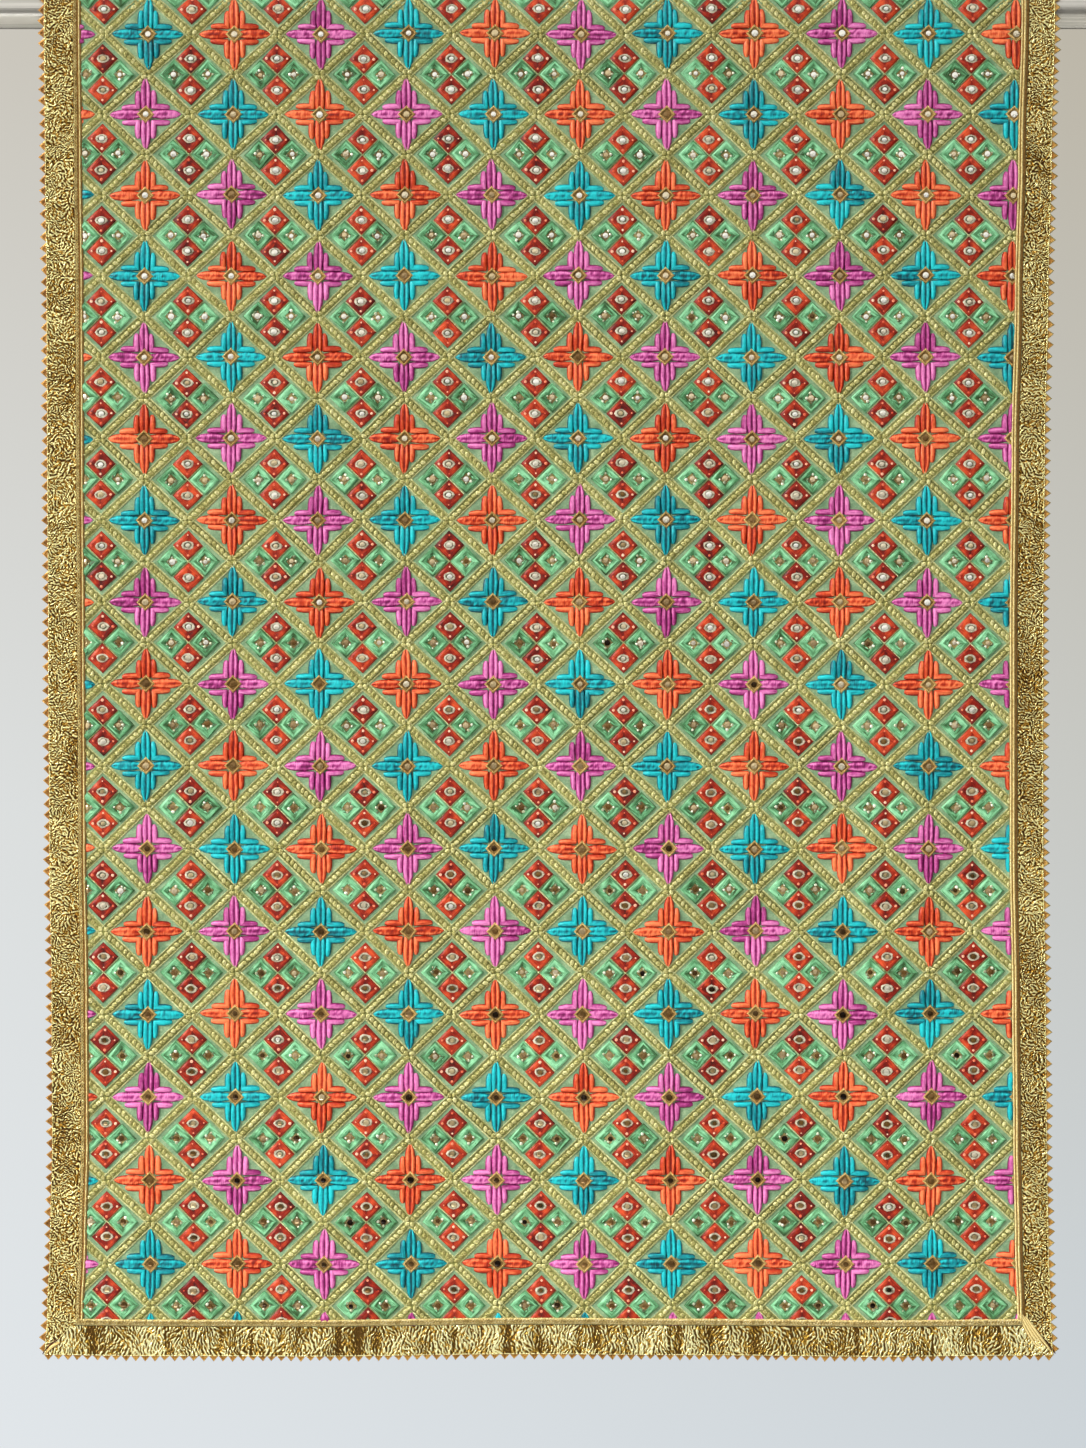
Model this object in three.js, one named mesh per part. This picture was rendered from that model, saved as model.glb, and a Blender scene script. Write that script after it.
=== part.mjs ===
// A mirror work dupatta hung over a round pole.
//
// The dupatta is one long rectangle of embroidered cloth. A crinkled gold ribbon is sewn along all
// its edges, mitred at the corners, and a narrow gold braid covers the ribbon's inner edge. Half of
// the dupatta falls in front of the pole and half behind it, with the worked face outwards on both.
//
// Millimetres, +Z up. The origin is the middle of the pole's axis, X runs along the pole, and the
// front drop hangs on the -Y side.

import * as THREE from 'three';

// ---- Sizes ----------------------------------------------------------------------------------

const POLE_LENGTH = 1100;
const POLE_RADIUS = 16;
const POLE_SIDES = 24;

const GAP = 0.3; // left between pieces that touch, and at every seam
const CLOTH_WALL = 1.0;
const RIBBON_WALL = 1.0;
const BRAID_WALL = 1.4;

const DROP = 1194.3; // from the pole's axis to the points of the hem's teeth
const RIBBON_WIDTH = 31; // with its teeth
const BRAID_WIDTH = 6.6;
const BORDER = RIBBON_WIDTH + BRAID_WIDTH;
const CLOTH_INSET = 6; // the cloth stops under the ribbon, this far inside the points of its teeth
const GROUND_INSET = BORDER + 1; // the ground's first line, just clear of the braid's mitres

const GROUND_COLUMNS = 13;
const GROUND_ROWS = 16;
const FOLD_STEPS = POLE_SIDES / 2;

// The face of the cloth that lies against the pole is this far from the pole's axis.
const INNER = POLE_RADIUS + GAP;

// How far the two faces of each layer stand out from the cloth's inner face.
const CLOTH_LAYER = { from: 0, to: CLOTH_WALL };
const RIBBON_LAYER = { from: CLOTH_WALL + GAP, to: CLOTH_WALL + GAP + RIBBON_WALL };
const BRAID_LAYER = { from: CLOTH_WALL + GAP, to: CLOTH_WALL + GAP + BRAID_WALL };

// Half widths from the centre line to the points of the teeth, going down from the pole's axis.
// Both drops draw in a little at the middle, and flare where the hem's ribbon stiffens them.
const OUTLINE = [
  { down: 0, left: 452.0, right: 452.0 },
  { down: 130, left: 451.0, right: 449.0 },
  { down: 260, left: 449.5, right: 446.0 },
  { down: 390, left: 449.0, right: 443.0 },
  { down: 550, left: 448.0, right: 441.5 },
  { down: 740, left: 447.0, right: 441.5 },
  { down: 880, left: 445.0, right: 443.5 },
  { down: 1000, left: 444.5, right: 444.5 },
  { down: 1090, left: 446.5, right: 446.0 },
  { down: 1150, left: 449.0, right: 448.0 },
  { down: 1196, left: 451.5, right: 450.0 },
];

// The soft folds in which each drop hangs. `at` is across from the centre line, `drift` is how far
// the fold has moved across at the hem, `spread` is its half width, `proud` is how far it stands
// out once it is full, and `starts` is how far down it begins.
const FRONT_FOLDS = [
  { at: -395, drift: 25, spread: 62, proud: 2.6, starts: 60 },
  { at: -165, drift: -20, spread: 70, proud: 3.4, starts: 120 },
  { at: 70, drift: 15, spread: 64, proud: 3.0, starts: 40 },
  { at: 300, drift: -10, spread: 72, proud: 3.2, starts: 90 },
  { at: 430, drift: 5, spread: 50, proud: 1.6, starts: 300 },
];
const BACK_FOLDS = [
  { at: -420, drift: 10, spread: 55, proud: 2.0, starts: 200 },
  { at: -250, drift: 18, spread: 74, proud: 3.3, starts: 70 },
  { at: -10, drift: -22, spread: 66, proud: 2.8, starts: 110 },
  { at: 215, drift: 12, spread: 70, proud: 3.6, starts: 50 },
  { at: 390, drift: -14, spread: 60, proud: 2.4, starts: 160 },
];
const FOLD_GROWS_OVER = 520;

// The hem's line dips and rises across the width.
const HEM_SWAY = 0.9;
const HEM_SWAY_LENGTH = 550;

const FRONT = { name: 'front', facing: -1, folds: FRONT_FOLDS, lowestAt: -260 };
const BACK = { name: 'back', facing: 1, folds: BACK_FOLDS, lowestAt: 210 };

// ---- The hanging surface --------------------------------------------------------------------
//
// A place on a drop is { column, row }. A column is a share of the width and an inset from there,
// and a row is a share of the drop and a rise from there, so that the border keeps its width while
// the ground between follows the outline.

// 0 to 1, with a level start and end.
function eased(t) {
  const clamped = Math.min(Math.max(t, 0), 1);
  return clamped * clamped * (3 - 2 * clamped);
}

// The outline's half width on one side, eased between the sections.
function halfWidth(side, down) {
  const next = OUTLINE.findIndex((section) => section.down >= down);
  const below = OUTLINE[Math.max(1, next)];
  const above = OUTLINE[Math.max(1, next) - 1];
  const t = eased((down - above.down) / (below.down - above.down));
  return above[side] + (below[side] - above[side]) * t;
}

// How far the folds stand out from the plane that hangs at the pole's side.
function standOff(drop, x, down) {
  let out = 0;
  for (const fold of drop.folds) {
    const grown = eased((down - fold.starts) / FOLD_GROWS_OVER);
    const aside = (x - fold.at - fold.drift * (down / DROP)) / fold.spread;
    out += fold.proud * grown * Math.exp(-aside * aside);
  }
  return out;
}

// The length of the drop at a distance across.
function dropLength(drop, x) {
  return DROP + HEM_SWAY * Math.cos((2 * Math.PI * (x - drop.lowestAt)) / HEM_SWAY_LENGTH);
}

// Where a column crosses the pole.
function acrossAtPole(column) {
  const { left, right } = OUTLINE[0];
  return (left + right) * column.share - left + column.inset;
}

// A point of a drop, `out` from the cloth's inner face.
function dropPoint(drop, { column, row }, out) {
  const down = row.share * dropLength(drop, acrossAtPole(column)) - row.rise;
  const left = halfWidth('left', down);
  const right = halfWidth('right', down);
  const x = (left + right) * column.share - left + column.inset;
  return new THREE.Vector3(x, drop.facing * (INNER + out + standOff(drop, x, down)), -down);
}

// A point of the fold over the pole, at an angle up from the front, `out` from its inner face.
function foldPoint({ column, angle }, out) {
  const radius = INNER + out;
  return new THREE.Vector3(acrossAtPole(column), -radius * Math.cos(angle), radius * Math.sin(angle));
}

// ---- Lines of the cut -----------------------------------------------------------------------

const fromLeft = (inset) => ({ share: 0, inset });
const fromRight = (inset) => ({ share: 1, inset: -inset });
const fromHem = (rise) => ({ share: 1, rise });

// `count` + 1 lines, numbered from 0.
function lines(count, line) {
  return Array.from({ length: count + 1 }, (_, k) => line(k));
}

// Columns of the ground, from just inside one braid to just inside the other.
const GROUND_ACROSS = lines(GROUND_COLUMNS, (k) => {
  const share = k / GROUND_COLUMNS;
  return { share, inset: GROUND_INSET * (1 - 2 * share) };
});

// Rows of the ground, from a gap under the fold over the pole to just above the hem's braid.
const GROUND_DOWN = lines(GROUND_ROWS, (k) => {
  const share = k / GROUND_ROWS;
  return { share, rise: GROUND_INSET * share - GAP * (1 - share) };
});

const CLOTH_ACROSS = [
  fromLeft(CLOTH_INSET),
  fromLeft(RIBBON_WIDTH),
  ...GROUND_ACROSS,
  fromRight(RIBBON_WIDTH),
  fromRight(CLOTH_INSET),
];
const CLOTH_DOWN = [...GROUND_DOWN, fromHem(RIBBON_WIDTH), fromHem(CLOTH_INSET)];

// Distances in from the edge of the dupatta that each strip of the border is built on.
const RIBBON_INSETS = [0, CLOTH_INSET, RIBBON_WIDTH];
const BRAID_INSETS = [RIBBON_WIDTH + GAP, BORDER];

// A mitred end is set back along its edge by this, which leaves the gap square across the mitre.
const MITRE_SETBACK = GAP / Math.SQRT2;

// ---- Walls ----------------------------------------------------------------------------------

function signedVolume(points, faces) {
  const moment = ([a, b, c]) => (
    points[a].dot(new THREE.Vector3().crossVectors(points[b], points[c])));
  return faces.reduce((sum, face) => sum + moment(face), 0) / 6;
}

// A closed wall between the two faces of a layer, over a grid of places given as a list of columns.
function wall(grid, layer, pointAt) {
  const across = grid.length;
  const along = grid[0].length;
  const places = grid.flat();
  const points = [
    ...places.map((place) => pointAt(place, layer.from)),
    ...places.map((place) => pointAt(place, layer.to)),
  ];
  const faces = [];
  const quad = (a, b, c, d) => faces.push([a, b, c], [a, c, d]);
  const lower = (i, j) => i * along + j;
  const upper = (i, j) => places.length + lower(i, j);

  for (let i = 0; i + 1 < across; i += 1) {
    for (let j = 0; j + 1 < along; j += 1) {
      quad(upper(i, j), upper(i + 1, j), upper(i + 1, j + 1), upper(i, j + 1));
      quad(lower(i, j), lower(i, j + 1), lower(i + 1, j + 1), lower(i + 1, j));
    }
    quad(lower(i, 0), lower(i + 1, 0), upper(i + 1, 0), upper(i, 0));
    quad(upper(i, along - 1), upper(i + 1, along - 1), lower(i + 1, along - 1), lower(i, along - 1));
  }
  for (let j = 0; j + 1 < along; j += 1) {
    quad(upper(0, j), upper(0, j + 1), lower(0, j + 1), lower(0, j));
    quad(lower(across - 1, j), lower(across - 1, j + 1), upper(across - 1, j + 1), upper(across - 1, j));
  }

  const facesOut = signedVolume(points, faces) > 0;
  const geometry = new THREE.BufferGeometry().setFromPoints(points);
  geometry.setIndex(faces.flatMap(([a, b, c]) => (facesOut ? [a, b, c] : [a, c, b])));
  geometry.computeVertexNormals();
  return geometry;
}

// A wall on a drop, over a grid of places.
function dropWall(drop, grid, layer) {
  return wall(grid, layer, (place, out) => dropPoint(drop, place, out));
}

// A wall on the fold over the pole, from the front drop's top to the back drop's.
function foldWall(columns, layer) {
  const angles = lines(FOLD_STEPS, (k) => (Math.PI * k) / FOLD_STEPS);
  const grid = columns.map((column) => angles.map((angle) => ({ column, angle })));
  return wall(grid, layer, foldPoint);
}

// ---- The cloth and its border ---------------------------------------------------------------

function clothDrop(drop) {
  const grid = CLOTH_ACROSS.map((column) => CLOTH_DOWN.map((row) => ({ column, row })));
  return dropWall(drop, grid, CLOTH_LAYER);
}

// A strip down one side of a drop, whose lower end is cut to the mitre.
function sideStrip(drop, fromSide, insets, layer) {
  const grid = insets.map((inset) => {
    const mitre = fromHem(inset + MITRE_SETBACK);
    return [...GROUND_DOWN, mitre].map((row) => ({ column: fromSide(inset), row }));
  });
  return dropWall(drop, grid, layer);
}

// The strip along a drop's hem, cut to the mitre at both ends.
function hemStrip(drop, rises, layer) {
  const places = (rise) => {
    const leftMitre = fromLeft(rise + MITRE_SETBACK);
    const rightMitre = fromRight(rise + MITRE_SETBACK);
    return [leftMitre, ...GROUND_ACROSS, rightMitre].map((column) => ({ column, row: fromHem(rise) }));
  };
  return dropWall(drop, rises.map(places), layer);
}

const BORDERS = [
  { name: 'ribbon', insets: RIBBON_INSETS, layer: RIBBON_LAYER },
  { name: 'braid', insets: BRAID_INSETS, layer: BRAID_LAYER },
];
const SIDES = [
  { name: 'left', from: fromLeft },
  { name: 'right', from: fromRight },
];

// ---- The part -------------------------------------------------------------------------------

const MATERIALS = {
  pole: new THREE.MeshStandardMaterial({ color: 0xb4aea2, roughness: 0.35, metalness: 0.9 }),
  cloth: new THREE.MeshStandardMaterial({ color: 0x93a07a, roughness: 0.8, metalness: 0 }),
  ribbon: new THREE.MeshStandardMaterial({ color: 0xc9a86a, roughness: 0.35, metalness: 0.8 }),
  braid: new THREE.MeshStandardMaterial({ color: 0xb08f55, roughness: 0.45, metalness: 0.6 }),
};

const part = new THREE.Group();

function add(name, geometry, material) {
  const mesh = new THREE.Mesh(geometry, MATERIALS[material]);
  mesh.name = name;
  part.add(mesh);
  return mesh;
}

const pole = add('pole', new THREE.CylinderGeometry(POLE_RADIUS, POLE_RADIUS, POLE_LENGTH, POLE_SIDES), 'pole');
pole.rotation.z = Math.PI / 2;

add('cloth_over_pole', foldWall([fromLeft(CLOTH_INSET), fromRight(CLOTH_INSET)], CLOTH_LAYER), 'cloth');
for (const border of BORDERS) {
  for (const side of SIDES) {
    const columns = border.insets.map(side.from);
    add(`${border.name}_${side.name}_over_pole`, foldWall(columns, border.layer), border.name);
  }
}

for (const drop of [FRONT, BACK]) {
  add(`cloth_${drop.name}`, clothDrop(drop), 'cloth');
  for (const border of BORDERS) {
    for (const side of SIDES) {
      const strip = sideStrip(drop, side.from, border.insets, border.layer);
      add(`${border.name}_${side.name}_${drop.name}`, strip, border.name);
    }
    const hem = hemStrip(drop, border.insets, border.layer);
    add(`${border.name}_hem_${drop.name}`, hem, border.name);
  }
}

export default part;
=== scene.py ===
"""The looks of a mirror work dupatta that hangs folded over a pole.

The embroidery is laid out on the flat cloth and then hung. A place on the cloth is (x, s, out), in
millimetres: x is across from the centre line, s runs down the front drop from the height of the
pole's axis, and out stands off the cloth's inner face. Above the pole's axis s is negative: it runs
over the fold and then down the back drop.
"""

import math

import bpy
import numpy as np
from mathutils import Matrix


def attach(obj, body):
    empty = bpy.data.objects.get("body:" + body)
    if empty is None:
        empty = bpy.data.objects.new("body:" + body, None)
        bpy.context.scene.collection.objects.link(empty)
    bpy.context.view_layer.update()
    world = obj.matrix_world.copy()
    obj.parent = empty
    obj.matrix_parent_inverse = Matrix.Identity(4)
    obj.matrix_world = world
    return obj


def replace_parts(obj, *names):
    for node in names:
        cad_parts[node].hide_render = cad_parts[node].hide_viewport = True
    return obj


MM = 0.001
rng = np.random.default_rng(11)

# ---- Sizes shared with the CAD model, in millimetres ----

POLE_RADIUS = 16.0
POLE_LENGTH = 1100.0
GAP = 0.3
CLOTH_WALL = 1.0
DROP = 1194.3
RIBBON_WIDTH = 31.0
CLOTH_INSET = 6.0
INNER = POLE_RADIUS + GAP
FOLD_ARC = math.pi * (INNER + CLOTH_WALL)

# Half widths to the points of the teeth, going down: down, left, right.
OUTLINE = np.array([
    (0, 452.0, 452.0),
    (130, 451.0, 449.0),
    (260, 449.5, 446.0),
    (390, 449.0, 443.0),
    (550, 448.0, 441.5),
    (740, 447.0, 441.5),
    (880, 445.0, 443.5),
    (1000, 444.5, 444.5),
    (1090, 446.5, 446.0),
    (1150, 449.0, 448.0),
    (1196, 451.5, 450.0),
])

# Soft folds of each drop: at, drift, spread, proud, starts.
FOLDS = {
    "front": (
        (-395, 25, 62, 2.6, 60),
        (-165, -20, 70, 3.4, 120),
        (70, 15, 64, 3.0, 40),
        (300, -10, 72, 3.2, 90),
        (430, 5, 50, 1.6, 300),
    ),
    "back": (
        (-420, 10, 55, 2.0, 200),
        (-250, 18, 74, 3.3, 70),
        (-10, -22, 66, 2.8, 110),
        (215, 12, 70, 3.6, 50),
        (390, -14, 60, 2.4, 160),
    ),
}
FOLD_GROWS_OVER = 520.0
HEM_SWAY = 0.9
HEM_SWAY_LENGTH = 550.0
HEM_LOWEST_AT = {"front": -260.0, "back": 210.0}

# How far in from the points of the teeth the crinkled ribbon ends, and the braid after it.
RIBBON_EDGE = {"left": 31.4, "right": 28.5, "hem": 31.0}
BRAID_EDGE = {"left": 38.7, "right": 35.9, "hem": 37.2}

# ---- The hung surface ----


def eased(t):
    """0 to 1, with a level start and end."""
    t = np.clip(t, 0.0, 1.0)
    return t * t * (3 - 2 * t)


def half_width(side, down):
    """The outline's half width on one side, eased between its sections."""
    column = {"left": 1, "right": 2}[side]
    down = np.clip(down, 0.0, OUTLINE[-1, 0])
    below = np.clip(np.searchsorted(OUTLINE[:, 0], down), 1, len(OUTLINE) - 1)
    top, foot = OUTLINE[below - 1, 0], OUTLINE[below, 0]
    start, end = OUTLINE[below - 1, column], OUTLINE[below, column]
    return start + (end - start) * eased((down - top) / (foot - top))


def across_cloth(down, inset, t):
    """x at t from -1 to 1 of the way across, between insets from both edges."""
    left, right = half_width("left", down) - inset, half_width("right", down) - inset
    return (right - left) / 2 + t * (right + left) / 2


def stand_off(drop, x, down):
    """How far the folds stand out from the plane that hangs at the pole's side."""
    out = 0.0
    for at, drift, spread, proud, starts in FOLDS[drop]:
        aside = (x - at - drift * down / DROP) / spread
        out = out + proud * eased((down - starts) / FOLD_GROWS_OVER) * np.exp(-aside * aside)
    return out


def drop_length(drop, x):
    return DROP + HEM_SWAY * np.cos(2 * math.pi * (x - HEM_LOWEST_AT[drop]) / HEM_SWAY_LENGTH)


def hem_sway(x, s):
    """How much longer than DROP the cloth's drop is at a place."""
    return np.where(s >= 0, drop_length("front", x), drop_length("back", x)) - DROP


def down_at(s):
    """How far below the pole's axis a place is, on either drop."""
    return np.maximum(np.maximum(s, -FOLD_ARC - s), 0.0)


def on_drop(drop, s):
    """Turns s into the distance down one drop, and that distance back into s."""
    return s if drop == "front" else -FOLD_ARC - s


def hang(places):
    """Places on the cloth as points in the frame, in metres."""
    x, s, out = places[..., 0], places[..., 1], places[..., 2]
    down, radius = down_at(s), INNER + out
    angle = math.pi * np.clip(-s / FOLD_ARC, 0.0, 1.0)
    front, back = s >= 0, s <= -FOLD_ARC
    y = -radius * np.cos(angle)
    y = np.where(front, -(radius + stand_off("front", x, down)), y)
    y = np.where(back, radius + stand_off("back", x, down), y)
    z = np.where(front | back, -down, radius * np.sin(angle))
    return np.stack([x, y, z], axis=-1) * MM


def inside_braid(x, s):
    """How far in from the braid's inner edge a place is."""
    down = down_at(s)
    hem = DROP + hem_sway(x, s) - BRAID_EDGE["hem"]
    left = x + half_width("left", down) - BRAID_EDGE["left"]
    right = half_width("right", down) - BRAID_EDGE["right"] - x
    return np.minimum(np.minimum(left, right), hem - down)


# ---- Gathering faces into pieces ----

HIDDEN_BY_BRAID = 3.2
PRESSED = CLOTH_WALL + 0.15
FIBRES_APART = 900.0  # shifts each thread's fibres, so that no two threads show the same ones


class Work:
    """The faces of one piece. Clipped work ends under the braid's inner edge.

    Threads are where a point lies along and across its thread, in millimetres, and the tone is how
    light its thread is, from 0 to 1.
    """

    def __init__(self, name, material, slot, clipped=True):
        self.name, self.material, self.slot, self.clipped = name, material, slot, clipped
        self.parts = []

    def add(self, places, faces, threads, tone):
        """places is (copies, points, 3), faces (faces, 3 or 4) and threads (..., points, 2)."""
        copies, points = places.shape[:2]
        if faces.shape[1] == 3:
            faces = np.hstack([faces, np.full((len(faces), 1), -1)])
        threads = np.broadcast_to(threads, (copies, points, 2))
        tone = np.asarray(tone, float)
        tone = np.broadcast_to(tone if tone.ndim == 2 else tone.reshape(-1, 1), (copies, points))
        self.parts.append((places, faces, threads, tone))

    def grid(self, places, threads=None, tone=0.5):
        """places is (copies, rows, columns, 3), rows along the thread."""
        copies, rows, columns = places.shape[:3]
        if threads is None:
            threads = grid_threads(places)
        flat = places.reshape(copies, rows * columns, 3)
        self.add(flat, grid_faces(rows, columns), threads.reshape(-1, rows * columns, 2), tone)

    def build(self):
        """Hangs the faces as one mesh. What the braid hides is left out of clipped work."""
        points, faces, threads, tones, start = [], [], [], [], 0
        for places, part_faces, part_threads, tone in self.parts:
            copies, count = places.shape[:2]
            keep = np.ones((copies, len(part_faces)), bool)
            if self.clipped:
                inside = inside_braid(places[..., 0], places[..., 1])
                under = inside < -0.1
                places[under, 2] = np.minimum(places[under, 2], PRESSED)
                corners = np.where(part_faces < 0, part_faces[:, :1], part_faces)
                keep = (inside > -HIDDEN_BY_BRAID)[:, corners].any(axis=2)
            shift = start + count * np.arange(copies)[:, None, None]
            numbered = np.where(part_faces[None] < 0, -1, part_faces[None] + shift)
            faces.append(numbered[keep])
            points.append(hang(places).reshape(-1, 3))
            threads.append(part_threads.reshape(-1, 2))
            tones.append(tone.reshape(-1))
            start += copies * count
        arrays = [np.concatenate(a) for a in (points, faces, threads, tones)]
        return mesh_object(self.name, *arrays, self.material, self.slot)


def grid_faces(rows, columns):
    """Faces of a grid whose rows run along one way and whose columns run to its left."""
    r, c = np.meshgrid(np.arange(rows - 1), np.arange(columns - 1), indexing="ij")
    corner = (r * columns + c).reshape(-1)
    return np.stack([corner, corner + columns, corner + columns + 1, corner + 1], axis=1)


def running(steps):
    """Distances from the first point, which lie along axis 1."""
    return np.concatenate([np.zeros_like(steps[:, :1]), np.cumsum(steps, axis=1)], axis=1)


def grid_threads(places):
    """Distances along the rows and across the columns of each grid, from its first point."""
    flat = places[..., :2]
    along = running(np.linalg.norm(np.diff(flat, axis=1), axis=-1).mean(axis=2))
    across = running(np.linalg.norm(np.diff(flat, axis=2), axis=-1).max(axis=1))
    shift = rng.uniform(0, FIBRES_APART, (len(places), 1, 1))
    return np.stack(np.broadcast_arrays(along[:, :, None] + shift, across[:, None, :] + shift), axis=-1)


def mesh_object(name, points, faces, threads, tones, material, slot):
    """A piece on the root body. A face of three points has -1 as its fourth."""
    used = np.unique(faces[faces >= 0])
    index = np.full(len(points), -1)
    index[used] = np.arange(len(used))
    corners = faces >= 0
    vertices = index[faces[corners]]
    totals = corners.sum(axis=1)
    starts = np.concatenate([[0], np.cumsum(totals)[:-1]])
    mesh = bpy.data.meshes.new(name)
    mesh.vertices.add(len(used))
    mesh.vertices.foreach_set("co", points[used].astype(np.float32).reshape(-1))
    mesh.loops.add(len(vertices))
    mesh.loops.foreach_set("vertex_index", vertices.astype(np.int32))
    mesh.polygons.add(len(faces))
    mesh.polygons.foreach_set("loop_start", starts.astype(np.int32))
    mesh.polygons.foreach_set("loop_total", totals.astype(np.int32))
    mesh.polygons.foreach_set("use_smooth", np.ones(len(faces), bool))
    mesh.update(calc_edges=True)
    layer = mesh.uv_layers.new(name="threads")
    layer.data.foreach_set("uv", threads[used][vertices].astype(np.float32).reshape(-1))
    tone = mesh.attributes.new("tone", "FLOAT", "POINT")
    tone.data.foreach_set("value", tones[used].astype(np.float32))
    mesh.validate()
    piece = bpy.data.objects.new(name, mesh)
    bpy.context.scene.collection.objects.link(piece)
    mesh.materials.append(material)
    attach(piece, "root")
    return piece


# ---- Smooth seeded noise ----

NOISE_SIZE = 64
NOISE_TABLE = rng.random((NOISE_SIZE, NOISE_SIZE))


def noise(x, y, layer):
    """Smooth noise from -1 to 1, about one hump to each unit. Layers differ from each other."""
    x, y = np.asarray(x) + 17.3 * layer, np.asarray(y) + 9.1 * layer
    x0, y0 = np.floor(x).astype(int), np.floor(y).astype(int)
    fx, fy = eased(x - x0), eased(y - y0)
    near_x, far_x, near_y, far_y = (n % NOISE_SIZE for n in (x0, x0 + 1, y0, y0 + 1))
    near = NOISE_TABLE[near_x, near_y] * (1 - fx) + NOISE_TABLE[far_x, near_y] * fx
    far = NOISE_TABLE[near_x, far_y] * (1 - fx) + NOISE_TABLE[far_x, far_y] * fx
    return 2 * (near * (1 - fy) + far * fy) - 1


def jitter(count, spread):
    return rng.uniform(-spread, spread, count)


# ---- The lattice of the pattern ----

STAR_PITCH_X = 76.6
STAR_PITCH_S = 71.0
STAR_STRETCH = 0.088  # rows of the front drop lie further apart by this times their number squared
FIRST_STAR_X = -355.2
FIRST_STAR_S = 23.8
STAR_REACH = 34.0
STAR_COLUMNS = np.arange(-1, 11)
STAR_ROWS = np.arange(-17, 17)
STAR_COLOURS = ("teal", "orange", "magenta")
LAST_ROW = (0, 0, 2, 2, 0, 0, 2, 2, 2, 2)  # the colours of the stars half under the front hem
UNEVEN_PLACES = 0.8

# The whole pattern sways a little to each side, going down the front drop: down, aside.
SWAY = np.array([(-1250, 1.5), (-700, -2.5), (-300, 1.8), (-60, 0.8), (0, 0.9), (140, -1.4), (320, -2.6),
                 (600, -0.6), (880, 1.0), (1110, 3.4), (1200, 3.6)])


def lattice(i, j):
    """Where column i and row j of the stars meet. Halves give the diamonds and the lattice's corners."""
    i, j = np.broadcast_arrays(np.asarray(i, float), np.asarray(j, float))
    s = FIRST_STAR_S + STAR_PITCH_S * j + STAR_STRETCH * np.maximum(j, 0) ** 2
    x = FIRST_STAR_X + STAR_PITCH_X * i + np.interp(s, SWAY[:, 0], SWAY[:, 1])
    x = x + UNEVEN_PLACES * noise(i * 1.3, j * 1.3, 1)
    s = s + UNEVEN_PLACES * noise(i * 1.3, j * 1.3, 2)
    return np.stack([x, s], axis=-1)


def cells(half):
    """Column and row numbers of all stars, or with half of all groups of diamonds."""
    i, j = (n.reshape(-1) for n in np.meshgrid(STAR_COLUMNS + half, STAR_ROWS + half, indexing="ij"))
    shown = inside_braid(*lattice(i, j).T) > -HIDDEN_BY_BRAID - STAR_REACH
    return i[shown], j[shown]


# ---- Laying motifs out ----

SUNK = 0.05  # how deep the edges of a strand or a cord sink into the cloth


def rotated(a, b, angles):
    """(a, b) turned by the angles."""
    cos, sin = np.cos(angles), np.sin(angles)
    return a * cos - b * sin, a * sin + b * cos


def lofts(centres, angles, stations, profile, grow=1.0, lift=1.0):
    """One padded strand at each centre, which runs off at its angle from +x.

    stations are (reach, aside, half width, height), and profile is (across, share of the height).
    """
    reach, aside, half, height = np.array(stations, float).T[:, None, :, None]
    across, rise = np.array(profile, float).T[:, None, None, :]
    angles, grow, lift = (np.reshape(a, (-1, 1, 1)) for a in (angles, grow, lift))
    a, b = rotated(reach * (0.5 + 0.5 * grow), -(aside + half * across) * grow, angles)
    out = CLOTH_WALL - SUNK + height * rise * lift
    return laid_out(a, b, out, centres)


def laid_out(a, b, out, centres):
    """Copies at the centres of the points (a, b, out), whose first axis is the copies."""
    x, s = (centre.reshape(-1, *(1,) * (a.ndim - 1)) for centre in centres.T)
    return np.stack(np.broadcast_arrays(x + a, s + b, out), axis=-1)


def placed(template, centres, angles, scale=1.0):
    """Copies of a template at the centres, turned and scaled."""
    shape = (-1,) + (1,) * (template.ndim - 1)
    angles, scale = np.reshape(angles, shape), np.reshape(scale, shape)
    a, b = rotated(template[..., 0] * scale, template[..., 1] * scale, angles)
    return laid_out(a, b, CLOTH_WALL + template[..., 2], centres)


def ring(outer, inner, heights, sides, squash=1.0):
    """A closed ring, as (sides + 1, profile points, 3). heights run from its inner edge out."""
    angle = np.linspace(0, 2 * math.pi, sides + 1)[:, None]
    radius = np.linspace(inner, outer, len(heights))
    places = np.broadcast_arrays(radius * np.cos(angle), radius * np.sin(angle) * squash, heights)
    return np.stack(places, axis=-1)


def square_ring(radii, heights):
    """A ring with straight sides and its corners on the axes, two steps to a side."""
    step = np.arange(9)[:, None]
    angle, radius = step * math.pi / 4, np.where(step % 2, math.sqrt(0.5), 1.0) * radii
    return np.stack(np.broadcast_arrays(radius * np.cos(angle), radius * np.sin(angle), heights), axis=-1)


def rough_ring(template, count, spread):
    """Copies of a closed ring whose points stand unevenly, with the ends still meeting."""
    copies = np.repeat(template[None], count, axis=0)
    wobble = rng.uniform(1 - spread, 1 + spread, copies.shape[:3])
    wobble[:, -1] = wobble[:, 0]
    return copies * wobble[..., None]


def small_loops(work, template, centres, angle, sway, uneven, base=CLOTH_WALL):
    """An uneven copy of a ring at each centre, turned to about the angle."""
    count = len(centres)
    copies = rough_ring(template, count, uneven)
    angles = np.reshape(angle + jitter(count, sway), (-1, 1, 1))
    a, b = rotated(copies[..., 0], copies[..., 1], angles)
    work.grid(laid_out(a, b, copies[..., 2] + base, centres), tone=rng.random(count))


def disc(sides):
    """A disc of radius 1, its middle first."""
    angle = 2 * math.pi * np.arange(sides) / sides
    rim = np.stack([np.cos(angle), np.sin(angle), np.zeros(sides)], axis=1)
    return np.concatenate([[[0, 0, 0]], rim])


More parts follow.
